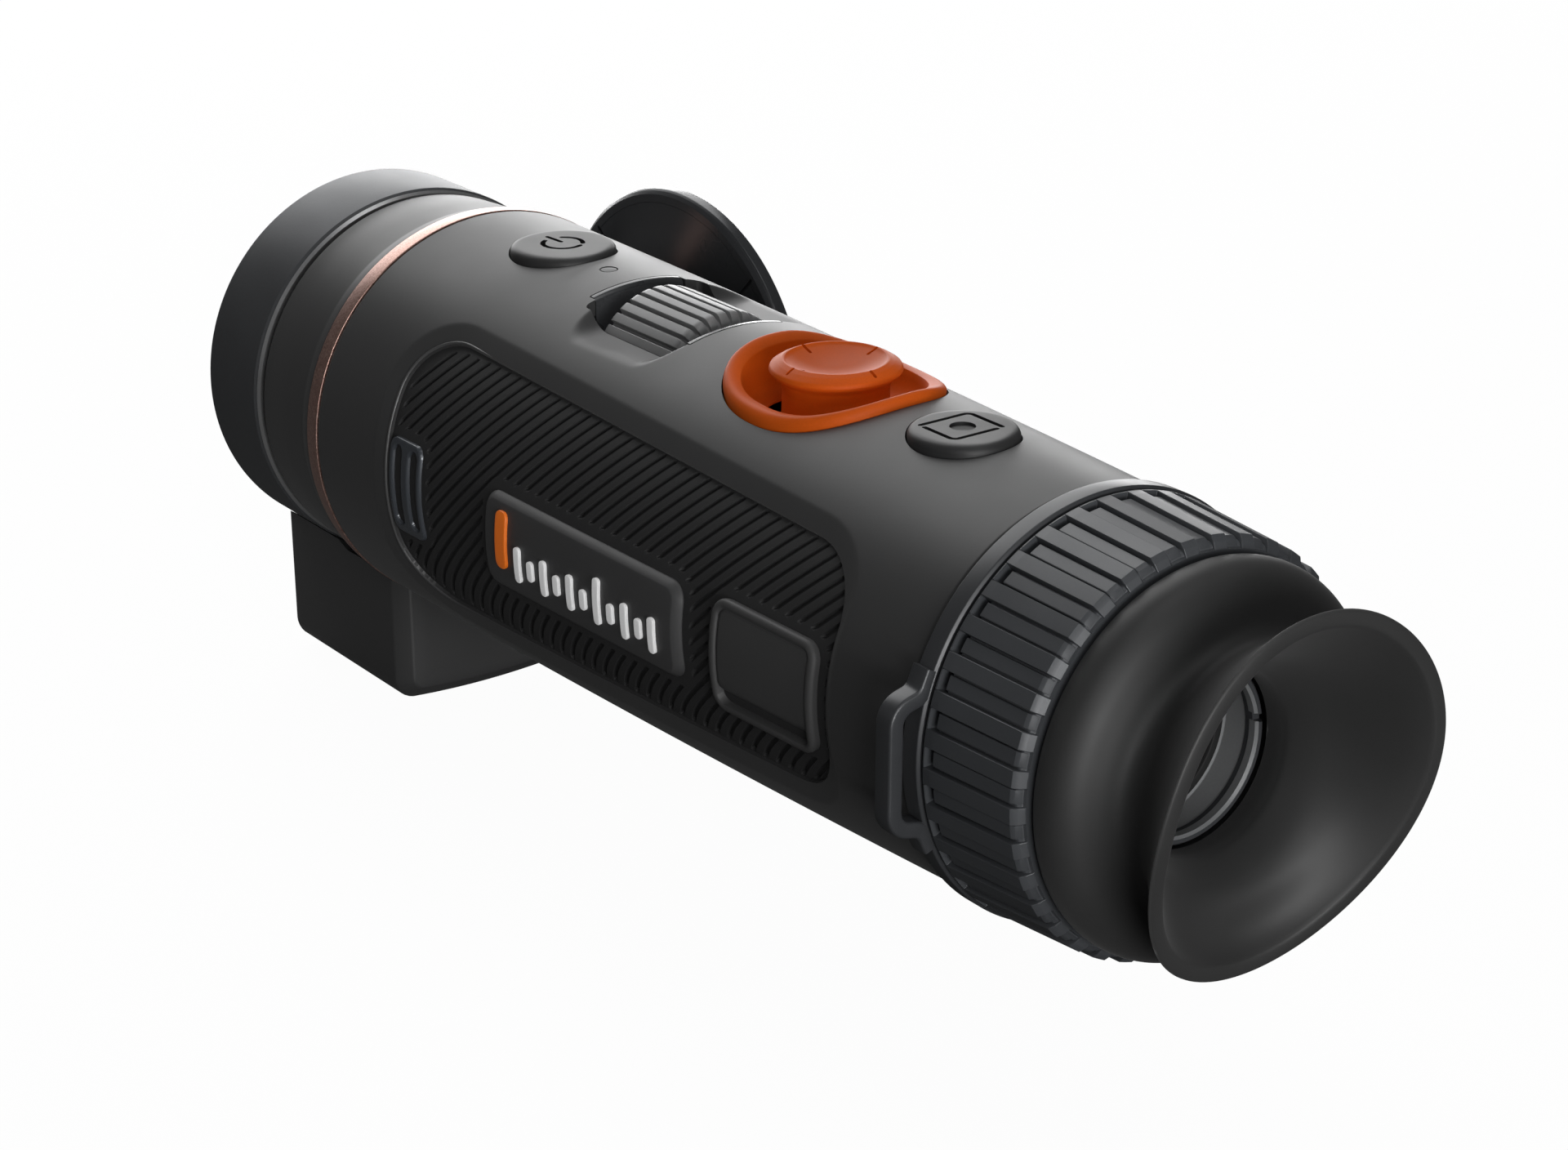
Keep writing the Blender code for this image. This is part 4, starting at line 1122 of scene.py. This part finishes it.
# x, radius, rib strength
WHEEL_STATIONS = [
    (42.0, 8.3, 0.0), (42.05, 9.25, 0.4), (42.25, 9.75, 0.75), (42.6, 9.95, 1.0), (43.2, 10.0, 1.0),
    (56.2, 10.0, 1.0), (56.7, 9.93, 1.0), (57.1, 9.7, 1.0), (57.35, 9.35, 1.0),
    (57.5, 8.95, 0.75), (57.6, 8.3, 0.1)]
ribbed_ring("focus_wheel_ribbed", WHEEL_STATIONS, WHEEL_RIBS, wheel_profile,
            phase=math.radians(106.8) + math.pi / WHEEL_RIBS, inner=1.75, mat="wheel",
            body="focus_knob", replaces="focus_wheel", centre=FOCUS_AXIS, sharp=28)
lathe("focus_wheel_hub",
      [(57.2, 1.7, 0), (57.2, 7.9, 0.4), (58.0, 7.4, 0.5), (58.0, 2.6, 0.4), (57.5, 1.7, 0)],
      64, "wheel", body="focus_knob", centre=FOCUS_AXIS)


# ------------------------------------------------------------------ keys
def key_cap(name, outline, top, base, body, replaces):
    return ring_solid(name, outline,
                      [(0.0, base), (0.0, top - 0.95), (0.04, top - 0.68), (0.16, top - 0.42),
                       (0.36, top - 0.20), (0.62, top - 0.06), (0.92, top - 0.01), (1.3, top)],
                      "soft_smooth", replaces, place=flat_place, body=body, cap=6,
                      sharp=60)


def arc_groove(centre, radius, start, end, width, low, high):
    """Cutter for a round-ended groove along an arc, angles in degrees."""
    half = width / 2
    steps = max(6, int(abs(end - start) / 8))

    def round_end(at, turn):
        angle = math.radians(at)
        middle = on_circle(centre, radius, angle)
        return [on_circle(middle, half, angle + turn + math.pi * k / 6) for k in range(1, 6)]

    outline = (arc_points(centre, radius + half, start, end, steps) + round_end(end, 0.0)
               + arc_points(centre, radius - half, end, start, steps) + round_end(start, math.pi))
    return prism_cutter(outline, low, high)


def path_groove(path, width, low, high):
    """Cutter for a round-ended groove along a polyline."""
    points = [np.array(p, float) for p in path]
    left, right = [], []
    for i, point in enumerate(points):
        if i == 0:
            along = points[1] - point
        elif i == len(points) - 1:
            along = point - points[-2]
        else:
            ahead, behind = points[i + 1] - point, point - points[i - 1]
            along = ahead / np.linalg.norm(ahead) + behind / np.linalg.norm(behind)
        along = along / np.linalg.norm(along)
        across = np.array((-along[1], along[0])) * width / 2
        left.append(point + across)
        right.append(point - across)

    def round_end(point, along):
        angle = math.atan2(along[1], along[0])
        return [on_circle(point, width / 2, angle + turn)
                for turn in np.linspace(math.pi / 2, -math.pi / 2, 7)[1:-1]]

    outline = (left + round_end(points[-1], points[-1] - points[-2])
               + right[::-1] + round_end(points[0], points[0] - points[1]))
    return prism_cutter([tuple(p) for p in outline], low, high)


def power_key():
    """Key with a broken ring and a dash cut into it."""
    top = 28.35
    depths = (top - 0.9, top + 1)
    icon = x, y = 19.9, 0.05
    cap = key_cap("power_key_cap", POWER_OUTLINE, top, 25.5, "power_key", "power_button")
    cut(cap, [arc_groove(icon, 2.65, -150, 28, 0.68, *depths),
              arc_groove(icon, 2.65, 52, 150, 0.68, *depths),
              path_groove([(x - 3.7, y - 0.1), (x - 0.6, y + 0.1)], 0.62, *depths)], sharp=60)


def camera_key():
    """Key with two corner brackets and a dot cut into it."""
    top = 26.55
    depths = (top - 0.9, top + 1)
    x, y = 104.75, -0.4
    half_x, half_y, radius = 3.1, 3.6, 0.8
    front, rear, low, high = x - half_x, x + half_x, y - half_y, y + half_y
    bracket_front = [(front, low + 0.1),
                     *arc_points((front + radius, high - radius), radius, 180, 90, 5),
                     (rear - 0.2, high)]
    bracket_rear = [(front + 0.9, low),
                    *arc_points((rear - radius, low + radius), radius, -90, 0, 5),
                    (rear, high - 0.95)]
    cap = key_cap("camera_key_cap", CAMERA_OUTLINE, top, 22.0, "camera_key", "camera_button")
    cut(cap, [path_groove(bracket_front, 0.66, *depths), path_groove(bracket_rear, 0.66, *depths),
              cylinder_cutter(1.55, top - 0.34, top + 1, "Z", (x + 0.1, y + 0.1, 0), 32)],
        sharp=60)


power_key()
camera_key()
lathe("status_window", [(25.4, 0, 0), (25.4, 1.12, 0), (27.63, 1.08, 0.05), (27.66, 0, 0)],
      32, "soft_smooth", "status_light_pipe", axis="Z", centre=STATUS_PLACE)


# ------------------------------------------------------------------ thumb stick
def level(z):
    """Height over the casing that puts a ring at a fixed z."""
    def height(x, y):
        radius = float(casing_r(x))
        return z - math.sqrt(max(1.0, radius * radius - y * y))
    return height


def stick_place(x, y, height):
    """Follows the casing's top, leaning outward; raised parts are lower towards +Y."""
    radius = casing_r(x)
    z = np.sqrt(np.maximum(radius * radius - y * y, 1.0))
    height = np.where(height > 0, height * (1 - 0.45 * ease(1.0, 11.0, y)), height)
    return np.stack([x, y + height * 0.35 * y / radius, z + height], 1)


ring_solid("stick_surround", STICK_OUTLINE,
           [(0.0, -2.6), (0.0, 0.35), (0.07, 0.72), (0.24, 1.02), (0.5, 1.2), (0.72, 1.25),
            (0.95, 1.20), (1.3, 1.02), (2.10, 0.48), (2.17, 0.40), (2.20, 0.25), (2.28, -0.8),
            (2.4, level(23.0)), (2.9, level(21.9)), (4.0, level(21.3)), (4.55, level(21.15)),
            (4.55, level(20.9)), (1.0, level(20.9))],
           "orange", "joystick_bezel", place=stick_place, hole=True, sharp=55)

STICK_TOP = 28.45
STICK_CENTRE = (STICK_X - 0.25, -0.3)
# z, radius, corner radius, from the base up to the rim of the dish
stick_profile = [
    (19.25, 0.0, 0), (19.25, 9.3, 0), (19.4, 9.3, 0.05), (20.0, 6.85, 0.3), (21.2, 6.6, 2.0),
    (24.6, 6.45, 2.0), (25.9, 6.7, 1.0), (26.72, 7.8, 0.4), (27.12, 8.1, 0.25), (27.6, 7.95, 0.5),
    (STICK_TOP - 0.30, 7.1, 0.9), (STICK_TOP, 6.45, 0.12), (STICK_TOP - 0.02, 6.22, 0.03)]
stick_profile += [(STICK_TOP - 0.12 - 1.30 * (1 - (r / 6.2) ** 2), r, 0)
                  for r in (6.08, 5.6, 4.8, 3.6, 2.4, 1.2, 0.0)]
stick = lathe("stick_cap_dished", stick_profile, 96, "orange", "joystick_cap",
              body="stick_cap", axis="Z", centre=(*STICK_CENTRE, 0), steps=6, sharp=55)
cut(stick, [path_groove([on_circle(STICK_CENTRE, r, math.radians(2 + 90 * k)) for r in (4.95, 7.35)],
                        0.42, STICK_TOP - 1.15, STICK_TOP + 2) for k in range(4)], sharp=55)

# ------------------------------------------------------------------ strap band and loop
lathe("strap_band",
      [(126.55, 22.0, 0), (126.55, 25.6, 0.15), (126.75, 25.9, 0.15), (129.15, 25.9, 0.2),
       (129.38, 25.5, 0.08), (129.38, 22.0, 0)],
      160, "strap", "strap_ring")


def strap_loop():
    """Bar bent into a loop on the left of the band, swept along a path in (y, z)."""
    centre_x = 127.95
    bends = fillet([(-23.6, 10.6, 0), (-24.8, 7.9, 2.2), (-28.55, 7.0, 2.6), (-28.75, -7.0, 2.6),
                    (-24.8, -7.9, 2.2), (-23.6, -10.6, 0)], 8)
    bends = [np.array(p) for p in bends]
    path = []
    for a, b in zip(bends, bends[1:]):
        steps = max(1, int(np.linalg.norm(b - a) / 0.6))
        path += [a + (b - a) * j / steps for j in range(steps)]
    path.append(bends[-1])
    section = rounded_rect(0, 0, 0.98, 1.36, 0.36, steps=4)
    loops = []
    for i, point in enumerate(path):
        along = path[min(i + 1, len(path) - 1)] - path[max(i - 1, 0)]
        along = along / np.linalg.norm(along)
        across = np.array((-along[1], along[0]))
        loops.append([(centre_x + thick, *(point + across * wide)) for wide, thick in section])
    piece("strap_loop", skin(loops), "strap", sharp=40)


strap_loop()

# ------------------------------------------------------------------ diopter ring
CHANNEL = 0.80  # channel depth beside the ribs
BAR = 0.40      # bar between the ribs, below their tops
POCKET = 1.75   # pocket ahead of each bar


def diopter_profile(shape):
    """Rib at 0 and bar at half a pitch; shape is (rib drop, channel drop, bar drop)."""
    rib, channel, bar = shape
    rib_edge, bevel, foot = 0.235, 0.018, 0.01
    inner, outer = rib_edge + 0.010, rib_edge + 0.066  # the channel's sides
    half = [(-outer - 0.03, bar), (-outer - foot, bar + 0.03),
            (-outer, bar + 0.1 if bar < channel else channel), (-outer + foot, channel),
            (-inner - foot, channel), (-inner, channel * 0.97), (-rib_edge, rib + 0.16),
            (-rib_edge + bevel * 0.4, rib + 0.05), (-rib_edge + bevel, rib)]
    return [(-0.5, bar)] + mirrored(half, (0.0, rib))


def diopter_r(x):
    return 25.62 - 0.95 * (x - 129.5) / 14.8


PLAIN = (0.0, 0.0, 0.0)
# x, radius, (rib drop, channel drop, bar drop)
DIOPTER_STATIONS = [
    (129.52, 24.6, PLAIN),
    (129.56, 25.22, PLAIN),
    (129.92, diopter_r(129.9), PLAIN),
    (130.10, diopter_r(130.1), PLAIN),
    (130.13, diopter_r(130.1), (0.0, POCKET, POCKET)),
    (130.98, diopter_r(131.0), (0.0, POCKET, POCKET)),
    (131.00, diopter_r(131.0), (0.0, POCKET, BAR + 0.12)),
    (131.08, diopter_r(131.1), (0.0, CHANNEL, BAR)),
    (143.05, diopter_r(143.0), (0.0, CHANNEL, BAR)),
    (143.25, diopter_r(143.2), (0.0, CHANNEL, BAR + 0.10)),
    (143.50, diopter_r(143.5), (0.0, CHANNEL, BAR + 0.24)),
    (143.54, diopter_r(143.5), (0.02, CHANNEL + 0.02, BAR + 0.28)),
    (143.72, diopter_r(143.7), (0.20, CHANNEL + 0.08, BAR + 0.50)),
    (144.04, diopter_r(144.0), (0.58, CHANNEL + 0.40, CHANNEL + 0.40)),
    (144.08, diopter_r(144.1), (0.66, CHANNEL + 0.55, CHANNEL + 0.55)),
    (144.40, 23.3, (0.0, 0.1, 0.1)),
]
ribbed_ring("diopter_ring_ribbed", DIOPTER_STATIONS, 36, diopter_profile,
            phase=math.radians(2.0), inner=22.0, mat="ribbed", body="diopter",
            replaces="diopter_ring", centre=(0, 0, 0), sharp=14)

# ------------------------------------------------------------------ eyecup
# (x, radius): outer wall, rolled lip, inner wall, mounting bore
CUP_OUTER = [(144.62, 21.9), (144.98, 22.75), (146.4, 23.22), (148.2, 22.88), (149.8, 21.5),
             (151.0, 19.2), (152.1, 17.0), (153.6, 16.25), (155.4, 17.15), (157.4, 18.95),
             (159.3, 20.85), (159.85, 21.4)]
CUP_LIP = [(160.02, 21.52), (160.16, 21.5), (160.27, 21.40), (160.34, 21.2), (160.40, 20.6),
           (160.40, 20.1), (160.36, 19.78), (160.26, 19.6)]
CUP_INNER = [(159.9, 19.3), (157.6, 17.35), (154.6, 15.0), (151.2, 12.75), (148.4, 11.4),
             (147.2, 11.1), (146.2, 11.0), (144.7, 11.0)]
CUP_MOUNT = [(144.65, 11.05), (144.65, 12.7), (146.45, 12.7), (146.45, 17.2), (144.62, 17.2)]


def cup_warp(points):
    """Draws the lip back at the top, forward at the bottom, and makes it oval."""
    x, y, z = points.T
    radius = np.hypot(y, z)
    angle = np.arctan2(z, y)
    share = ease(150.5, 160.0, x) ** 1.15
    share = np.where(radius < 14, share * ease(10.9, 14, radius), share)
    x = x + share * (3.88 * np.sin(angle) + 1.5 * np.cos(2 * angle))
    radius = radius - share * 0.87 * np.cos(2 * angle) * ease(12, 19, radius)
    return np.stack([x, radius * np.cos(angle), radius * np.sin(angle)], 1)


points, faces = turned(spline(CUP_OUTER) + CUP_LIP + spline(CUP_INNER) + CUP_MOUNT, 144)
piece("eyecup_soft", (cup_warp(points), faces), "cup", "eyecup",
      body="eyecup_body", sharp=40)

# ------------------------------------------------------------------ eyepiece cell
CELL = "eye_cell"
lathe("ocular_tube",
      [(116.0, 9.9, 0), (116.0, 12.7, 0.3), (139.5, 12.7, 0.3), (139.5, 10.55, 0),
       (142.5, 10.55, 0), (142.5, 9.96, 0), (139.0, 10.2, 0.2), (138.4, 9.7, 0)],
      96, "bore", "eyepiece_cell", body=CELL)
retainer = lathe("ocular_retainer",
                 [(142.45, 9.9, 0), (142.45, 10.93, 0.05), (144.0, 10.93, 0.12),
                  (144.36, 10.62, 0.10), (144.36, 10.18, 0.02), (144.1, 10.00, 0),
                  (143.2, 9.9, 0)],
                 128, "strap", "eye_lens_retainer", body=CELL, sharp=25)
notches = []
for degrees in (8, 188):
    y, z = on_circle((0, 0), 10.2, math.radians(degrees))
    notches.append(prism_cutter([(y - 1.2, z - 0.5), (y + 1.2, z - 0.5), (y + 1.2, z + 0.5),
                                 (y - 1.2, z + 0.5)], 143.55, 146, "X"))
cut(retainer, notches, sharp=25)
bright_edge = lathe("ocular_bright_edge",
                    [(144.32, 10.14, 0), (144.02, 9.84, 0), (143.1, 9.84, 0), (143.1, 9.88, 0),
                     (143.25, 9.90, 0), (144.08, 9.99, 0)],
                    128, "eye_edge", body=CELL, sharp=25)
cut(bright_edge, [prism_cutter([(8.9, 0.87), (11.3, 1.2), (11.2, 2.2), (8.8, 1.87)],
                               143.0, 146, "X")], sharp=25)
lathe("ocular_seal", [(138.35, 8.6, 0.15), (138.35, 9.75, 0.1), (139.0, 9.75, 0), (138.95, 8.9, 0.2)],
      96, "black", body=CELL)
lens("ocular_lens", back=131.5, apex=138.6, sag=-1.5, radius=9.6, rings=16, seg=96,
     mat="eye_glass", replaces="eye_lens", body=CELL, rim=[(137.0, 9.6)])

# ------------------------------------------------------------------ lens cap and hinge
# The cap is folded back along the right side. In (x, y), its hinge is the centre of the turn
# that takes the cap's centre from its open place to the front of the objective.
TILT = math.radians(3.3)
SWING = 1.5 * math.pi - TILT
CAP_OPEN = np.array((3.0, 29.0))
CAP_CLOSED = np.array((-36.1, 0.0))
swing_turn = np.array([[math.cos(SWING), -math.sin(SWING)], [math.sin(SWING), math.cos(SWING)]])
HINGE_X, HINGE_Y = np.linalg.solve(np.eye(2) - swing_turn, CAP_CLOSED - swing_turn @ CAP_OPEN)
HINGE_PLACE = (HINGE_X, HINGE_Y, 0)
FACE_NORMAL = np.array((math.sin(TILT), -math.cos(TILT)))
FACE_ALONG = np.array((math.cos(TILT), math.sin(TILT)))
to_hinge = np.array((HINGE_X, HINGE_Y)) - CAP_OPEN
HINGE_OUT = -float(to_hinge @ FACE_NORMAL)
HINGE_ALONG = float(to_hinge @ FACE_ALONG)


def cap_place(points):
    """Places (along the cap's face, outward from the casing, z)."""
    points = np.asarray(points, float)
    flat = CAP_OPEN[None] + points[:, :1] * FACE_ALONG[None] - points[:, 1:2] * FACE_NORMAL[None]
    return np.concatenate([flat, points[:, 2:3]], 1)


def cap_disc():
    """Turned disc with four slots in its face."""
    profile = fillet([(0.06, 0, 0), (0.06, 24.6, 0), (0.0, 24.7, 0), (0.0, 25.8, 0.12),
                      (0.45, 26.3, 0.2), (0.75, 26.55, 0.3), (2.5, 26.6, 0.4), (2.5, 22.6, 0.1),
                      (3.7, 22.3, 0.4), (3.7, 20.0, 0.3), (2.5, 19.7, 0.2), (2.5, 0, 0)])
    points, faces = turned(profile, 160, "Y")
    disc = piece("cap_disc", (cap_place(points), faces), "cap", "lens_cap",
                 body="cap_flap", sharp=28)
    slots = []
    for angle in (45, 135, 225, 315):
        inner, outer = (on_circle((0, 0), r, math.radians(angle)) for r in (21.0, 25.0))
        outline = (arc_points(outer, 0.26, angle - 90, angle + 90, 6)
                   + arc_points(inner, 0.26, angle + 90, angle + 270, 6))
        points, faces = prism(outline, -0.6, 0.42, "Y")
        slots.append(cutter((cap_place(points), faces)))
    cut(disc, slots, sharp=28)


def cap_arm():
    """Arm from the disc to the knuckle round the pin."""
    along, out = HINGE_ALONG, HINGE_OUT
    corners = [(along + 1.9, out - 1.6), (along + 2.5, out + 0.2), (along + 1.6, out + 2.0),
               (along - 0.6, out + 2.4), (along - 2.3, out + 1.0), (along - 2.3, out - 1.2),
               (along - 0.4, 1.2), (along + 2.4, 0.45), (-24.5, 0.5), (-24.5, 2.1),
               (along + 3.6, 2.1)]
    outline = np.array(fillet([(*corner, 0.7) for corner in corners], 4))
    middle = outline.mean(0)
    spokes = outline - middle
    lengths = np.maximum(np.linalg.norm(spokes, axis=1, keepdims=True), 1.0)
    loops = []
    for z, inset in ((-3.25, 0.25), (-3.05, 0.0), (3.05, 0.0), (3.25, 0.25)):
        loops.append([(*p, z) for p in middle + spokes * (1 - inset / lengths)])
    points, faces = skin(loops)
    arm = piece("cap_arm", (cap_place(points), faces), "cap", body="cap_flap",
                sharp=30)
    cut(arm, [cylinder_cutter(1.12, -10, 10, "Z", HINGE_PLACE, 32)], sharp=30)


def hinge_bracket():
    """Bracket on the objective with a gap for the arm."""
    x, y = HINGE_X, HINGE_Y
    outline = fillet([(x - 2.3, y - 0.2, 0.8), (x - 1.5, y + 1.8, 1.0), (x + 1.5, y + 1.8, 1.0),
                      (x + 2.3, y - 0.2, 0.8), (x + 4.8, 27.5, 2.0), (x + 4.8, 22.0, 0),
                      (x - 1.9, 22.0, 0), (x - 1.9, 28.4, 1.5)])
    gap = [(x - 6, y - 5.3), (x + 12, y - 5.3), (x + 12, y + 8), (x - 6, y + 8)]
    bracket = piece("hinge_bracket_body", prism(outline, -7.0, 7.0), "bezel",
                    "cap_hinge_bracket", sharp=30)
    cut(bracket, [cylinder_cutter(26.85, -60, 30, seg=128), prism_cutter(gap, -3.6, 3.6),
                  cylinder_cutter(1.05, -10, 10, "Z", HINGE_PLACE, 32)], sharp=30)
    bevel = bracket.modifiers.new("edge", "BEVEL")
    bevel.width = 0.22 * MM
    bevel.segments = 2
    bevel.limit_method = "ANGLE"
    bevel.angle_limit = math.radians(40)


cap_disc()
cap_arm()
hinge_bracket()
lathe("hinge_pin_steel", [(-7.15, 0, 0), (-7.15, 1.0, 0.3), (7.15, 1.0, 0.3), (7.15, 0, 0)],
      32, "steel", "cap_hinge_pin", axis="Z", centre=HINGE_PLACE)

# ------------------------------------------------------------------ tripod insert, thread as rings
THREAD_PITCH = 0.64
thread = [(-27.85, 3.9, 0), (-27.85, 3.3, 0.15)]
for i in range(9):
    z = -27.5 + THREAD_PITCH * i
    thread += [(z, 3.05, 0), (z + THREAD_PITCH / 2, 3.3, 0), (z + THREAD_PITCH, 3.05, 0)]
thread += [(-21.4, 3.05, 0), (-21.4, 3.9, 0)]
lathe("tripod_thread", thread, 48, "brass", "tripod_insert", axis="Z",
      centre=TRIPOD_PLACE, steps=2, sharp=20)

# ------------------------------------------------------------------ CAD parts that stay
SLOT_MATS = {"soft_touch": "soft", "dark_metal": "bezel", "copper_accent": "copper",
             "rubber_black": "rubber", "orange_plastic": "orange", "semi_gloss_grey": "ribbed",
             "dark_plastic": "plastic", "board_green": "board", "bright_steel": "steel",
             "brass_gear": "brass", "coated_glass": "glass", "germanium": "germanium",
             "battery_sleeve": "battery"}
for part in frame["record"]["subparts"]:
    # the frame may hold the objects themselves or only their names
    nodes = frame["nodes"]
    obj = nodes.get(part["node"]) if isinstance(nodes, dict) else None
    if not isinstance(obj, bpy.types.Object):
        obj = bpy.data.objects.get(part["node"])
    if obj is not None and obj.type == "MESH":
        for material_slot in obj.material_slots:
            material_slot.material = MATS[SLOT_MATS[part["material_slot"]]]


# ------------------------------------------------------------------ floor and world
def floor_material():
    """Nearly white to the camera, dark to every other ray."""
    mat, tree, bsdf = new_material("pale_floor")
    set_inputs(tree, bsdf, {"Base Color": (0.95, 0.95, 0.95, 1), "Roughness": 0.9,
                            "Specular IOR Level": 0.1})
    glow = add_node(tree, "Emission", {"Color": (1, 1, 1, 1), "Strength": 1.0})
    dim = add_node(tree, "BsdfDiffuse", {"Color": (0.10, 0.10, 0.10, 1)})
    seen = add_node(tree, "MixShader", {"Fac": 0.97, 1: bsdf.outputs["BSDF"],
                                        2: glow.outputs["Emission"]})
    path = add_node(tree, "LightPath")
    mix = add_node(tree, "MixShader", {"Fac": path.outputs["Is Camera Ray"],
                                       1: dim.outputs["BSDF"], 2: seen.outputs["Shader"]})
    set_inputs(tree, tree.nodes["Material Output"], {"Surface": mix.outputs["Shader"]})
    return mat


FLOOR_HALF = 6  # metres
floor_z = CAD_BOX[0][2] - 0.0005
floor_mesh = bpy.data.meshes.new("floor")
floor_mesh.from_pydata([(sx * FLOOR_HALF, sy * FLOOR_HALF, floor_z)
                        for sx, sy in ((-1, -1), (1, -1), (1, 1), (-1, 1))], [], [(0, 1, 2, 3)])
floor_mesh.materials.append(floor_material())
floor = bpy.data.objects.new("floor", floor_mesh)
scene.collection.objects.link(floor)


def studio_world():
    """White to the camera, a faint fill to every other ray."""
    world = bpy.data.worlds.new("studio")
    scene.world = world
    world.use_nodes = True
    tree = world.node_tree
    fill = tree.nodes["Background"]
    set_inputs(tree, fill, {"Color": (1, 1, 1, 1), "Strength": 0.075})
    seen = add_node(tree, "Background", {"Color": (1, 1, 1, 1), "Strength": 1.0})
    path = add_node(tree, "LightPath")
    mix = add_node(tree, "MixShader", {"Fac": path.outputs["Is Camera Ray"],
                                       1: fill.outputs["Background"],
                                       2: seen.outputs["Background"]})
    set_inputs(tree, tree.nodes["World Output"], {"Surface": mix.outputs["Shader"]})


studio_world()

# ------------------------------------------------------------------ lights, in metres
# name, place, target, width, height, watts
LIGHTS = [
    ("top_soft", (-0.72, 0.24, 0.74), (0, 0, 0.0), 0.85, 0.85, 6.0),
    ("back_soft", (-1.15, 0.62, 0.20), (0, 0, 0.03), 1.15, 0.34, 9.5),
    ("rear_fill", (1.22, -0.28, 0.12), (0.05, 0, 0.0), 0.8, 0.5, 7.0),
    ("high_back", (0.38, 0.10, 0.95), (0, 0, 0.0), 0.42, 0.42, 0.9),
    ("key_rear", (0.85, -0.50, 0.60), (0.02, 0, 0.0), 0.3, 0.3, 1.2),
    ("low_fill", (1.25, -0.22, 0.045), (0, 0, 0.0), 1.0, 0.12, 5.0),
    ("left_fill", (-0.6, -1.1, 0.45), (0, 0, 0.02), 0.7, 0.3, 0.15),
]
for name, place, target, width, height, watts in LIGHTS:
    light = bpy.data.lights.new(name, "AREA")
    light.energy = watts
    light.shape = "RECTANGLE"
    light.size = width
    light.size_y = height
    obj = bpy.data.objects.new(name, light)
    obj.location = place
    obj.rotation_euler = (Vector(target) - Vector(place)).to_track_quat("-Z", "Y").to_euler()
    scene.collection.objects.link(obj)

# ------------------------------------------------------------------ camera
CAMERA_PLACE = (392.14, -233.92, 157.00)  # design millimetres
AZIMUTH, ELEVATION, ROLL = math.radians(54.06), math.radians(21.90), math.radians(-0.39)
level_right = Vector((math.cos(AZIMUTH), math.sin(AZIMUTH), 0))
level_up = Vector((-math.sin(AZIMUTH) * math.sin(ELEVATION),
                   math.cos(AZIMUTH) * math.sin(ELEVATION), math.cos(ELEVATION)))
back = Vector((math.sin(AZIMUTH) * math.cos(ELEVATION),
               -math.cos(AZIMUTH) * math.cos(ELEVATION), math.sin(ELEVATION)))
right = level_right * math.cos(ROLL) + level_up * math.sin(ROLL)
up = level_up * math.cos(ROLL) - level_right * math.sin(ROLL)
place = (Vector(CAMERA_PLACE) - Vector(ORIGIN)) * MM
camera_data = bpy.data.cameras.new("camera")
camera_data.sensor_width = 36.0
camera_data.lens = 78.740625
camera_data.clip_start = 0.01
camera_data.clip_end = 50
camera = bpy.data.objects.new("camera", camera_data)
camera.matrix_world = Matrix((*((right[i], up[i], back[i], place[i]) for i in range(3)),
                              (0, 0, 0, 1)))
scene.collection.objects.link(camera)
scene.camera = camera
scene.view_settings.view_transform = "Standard"
scene.view_settings.look = "None"
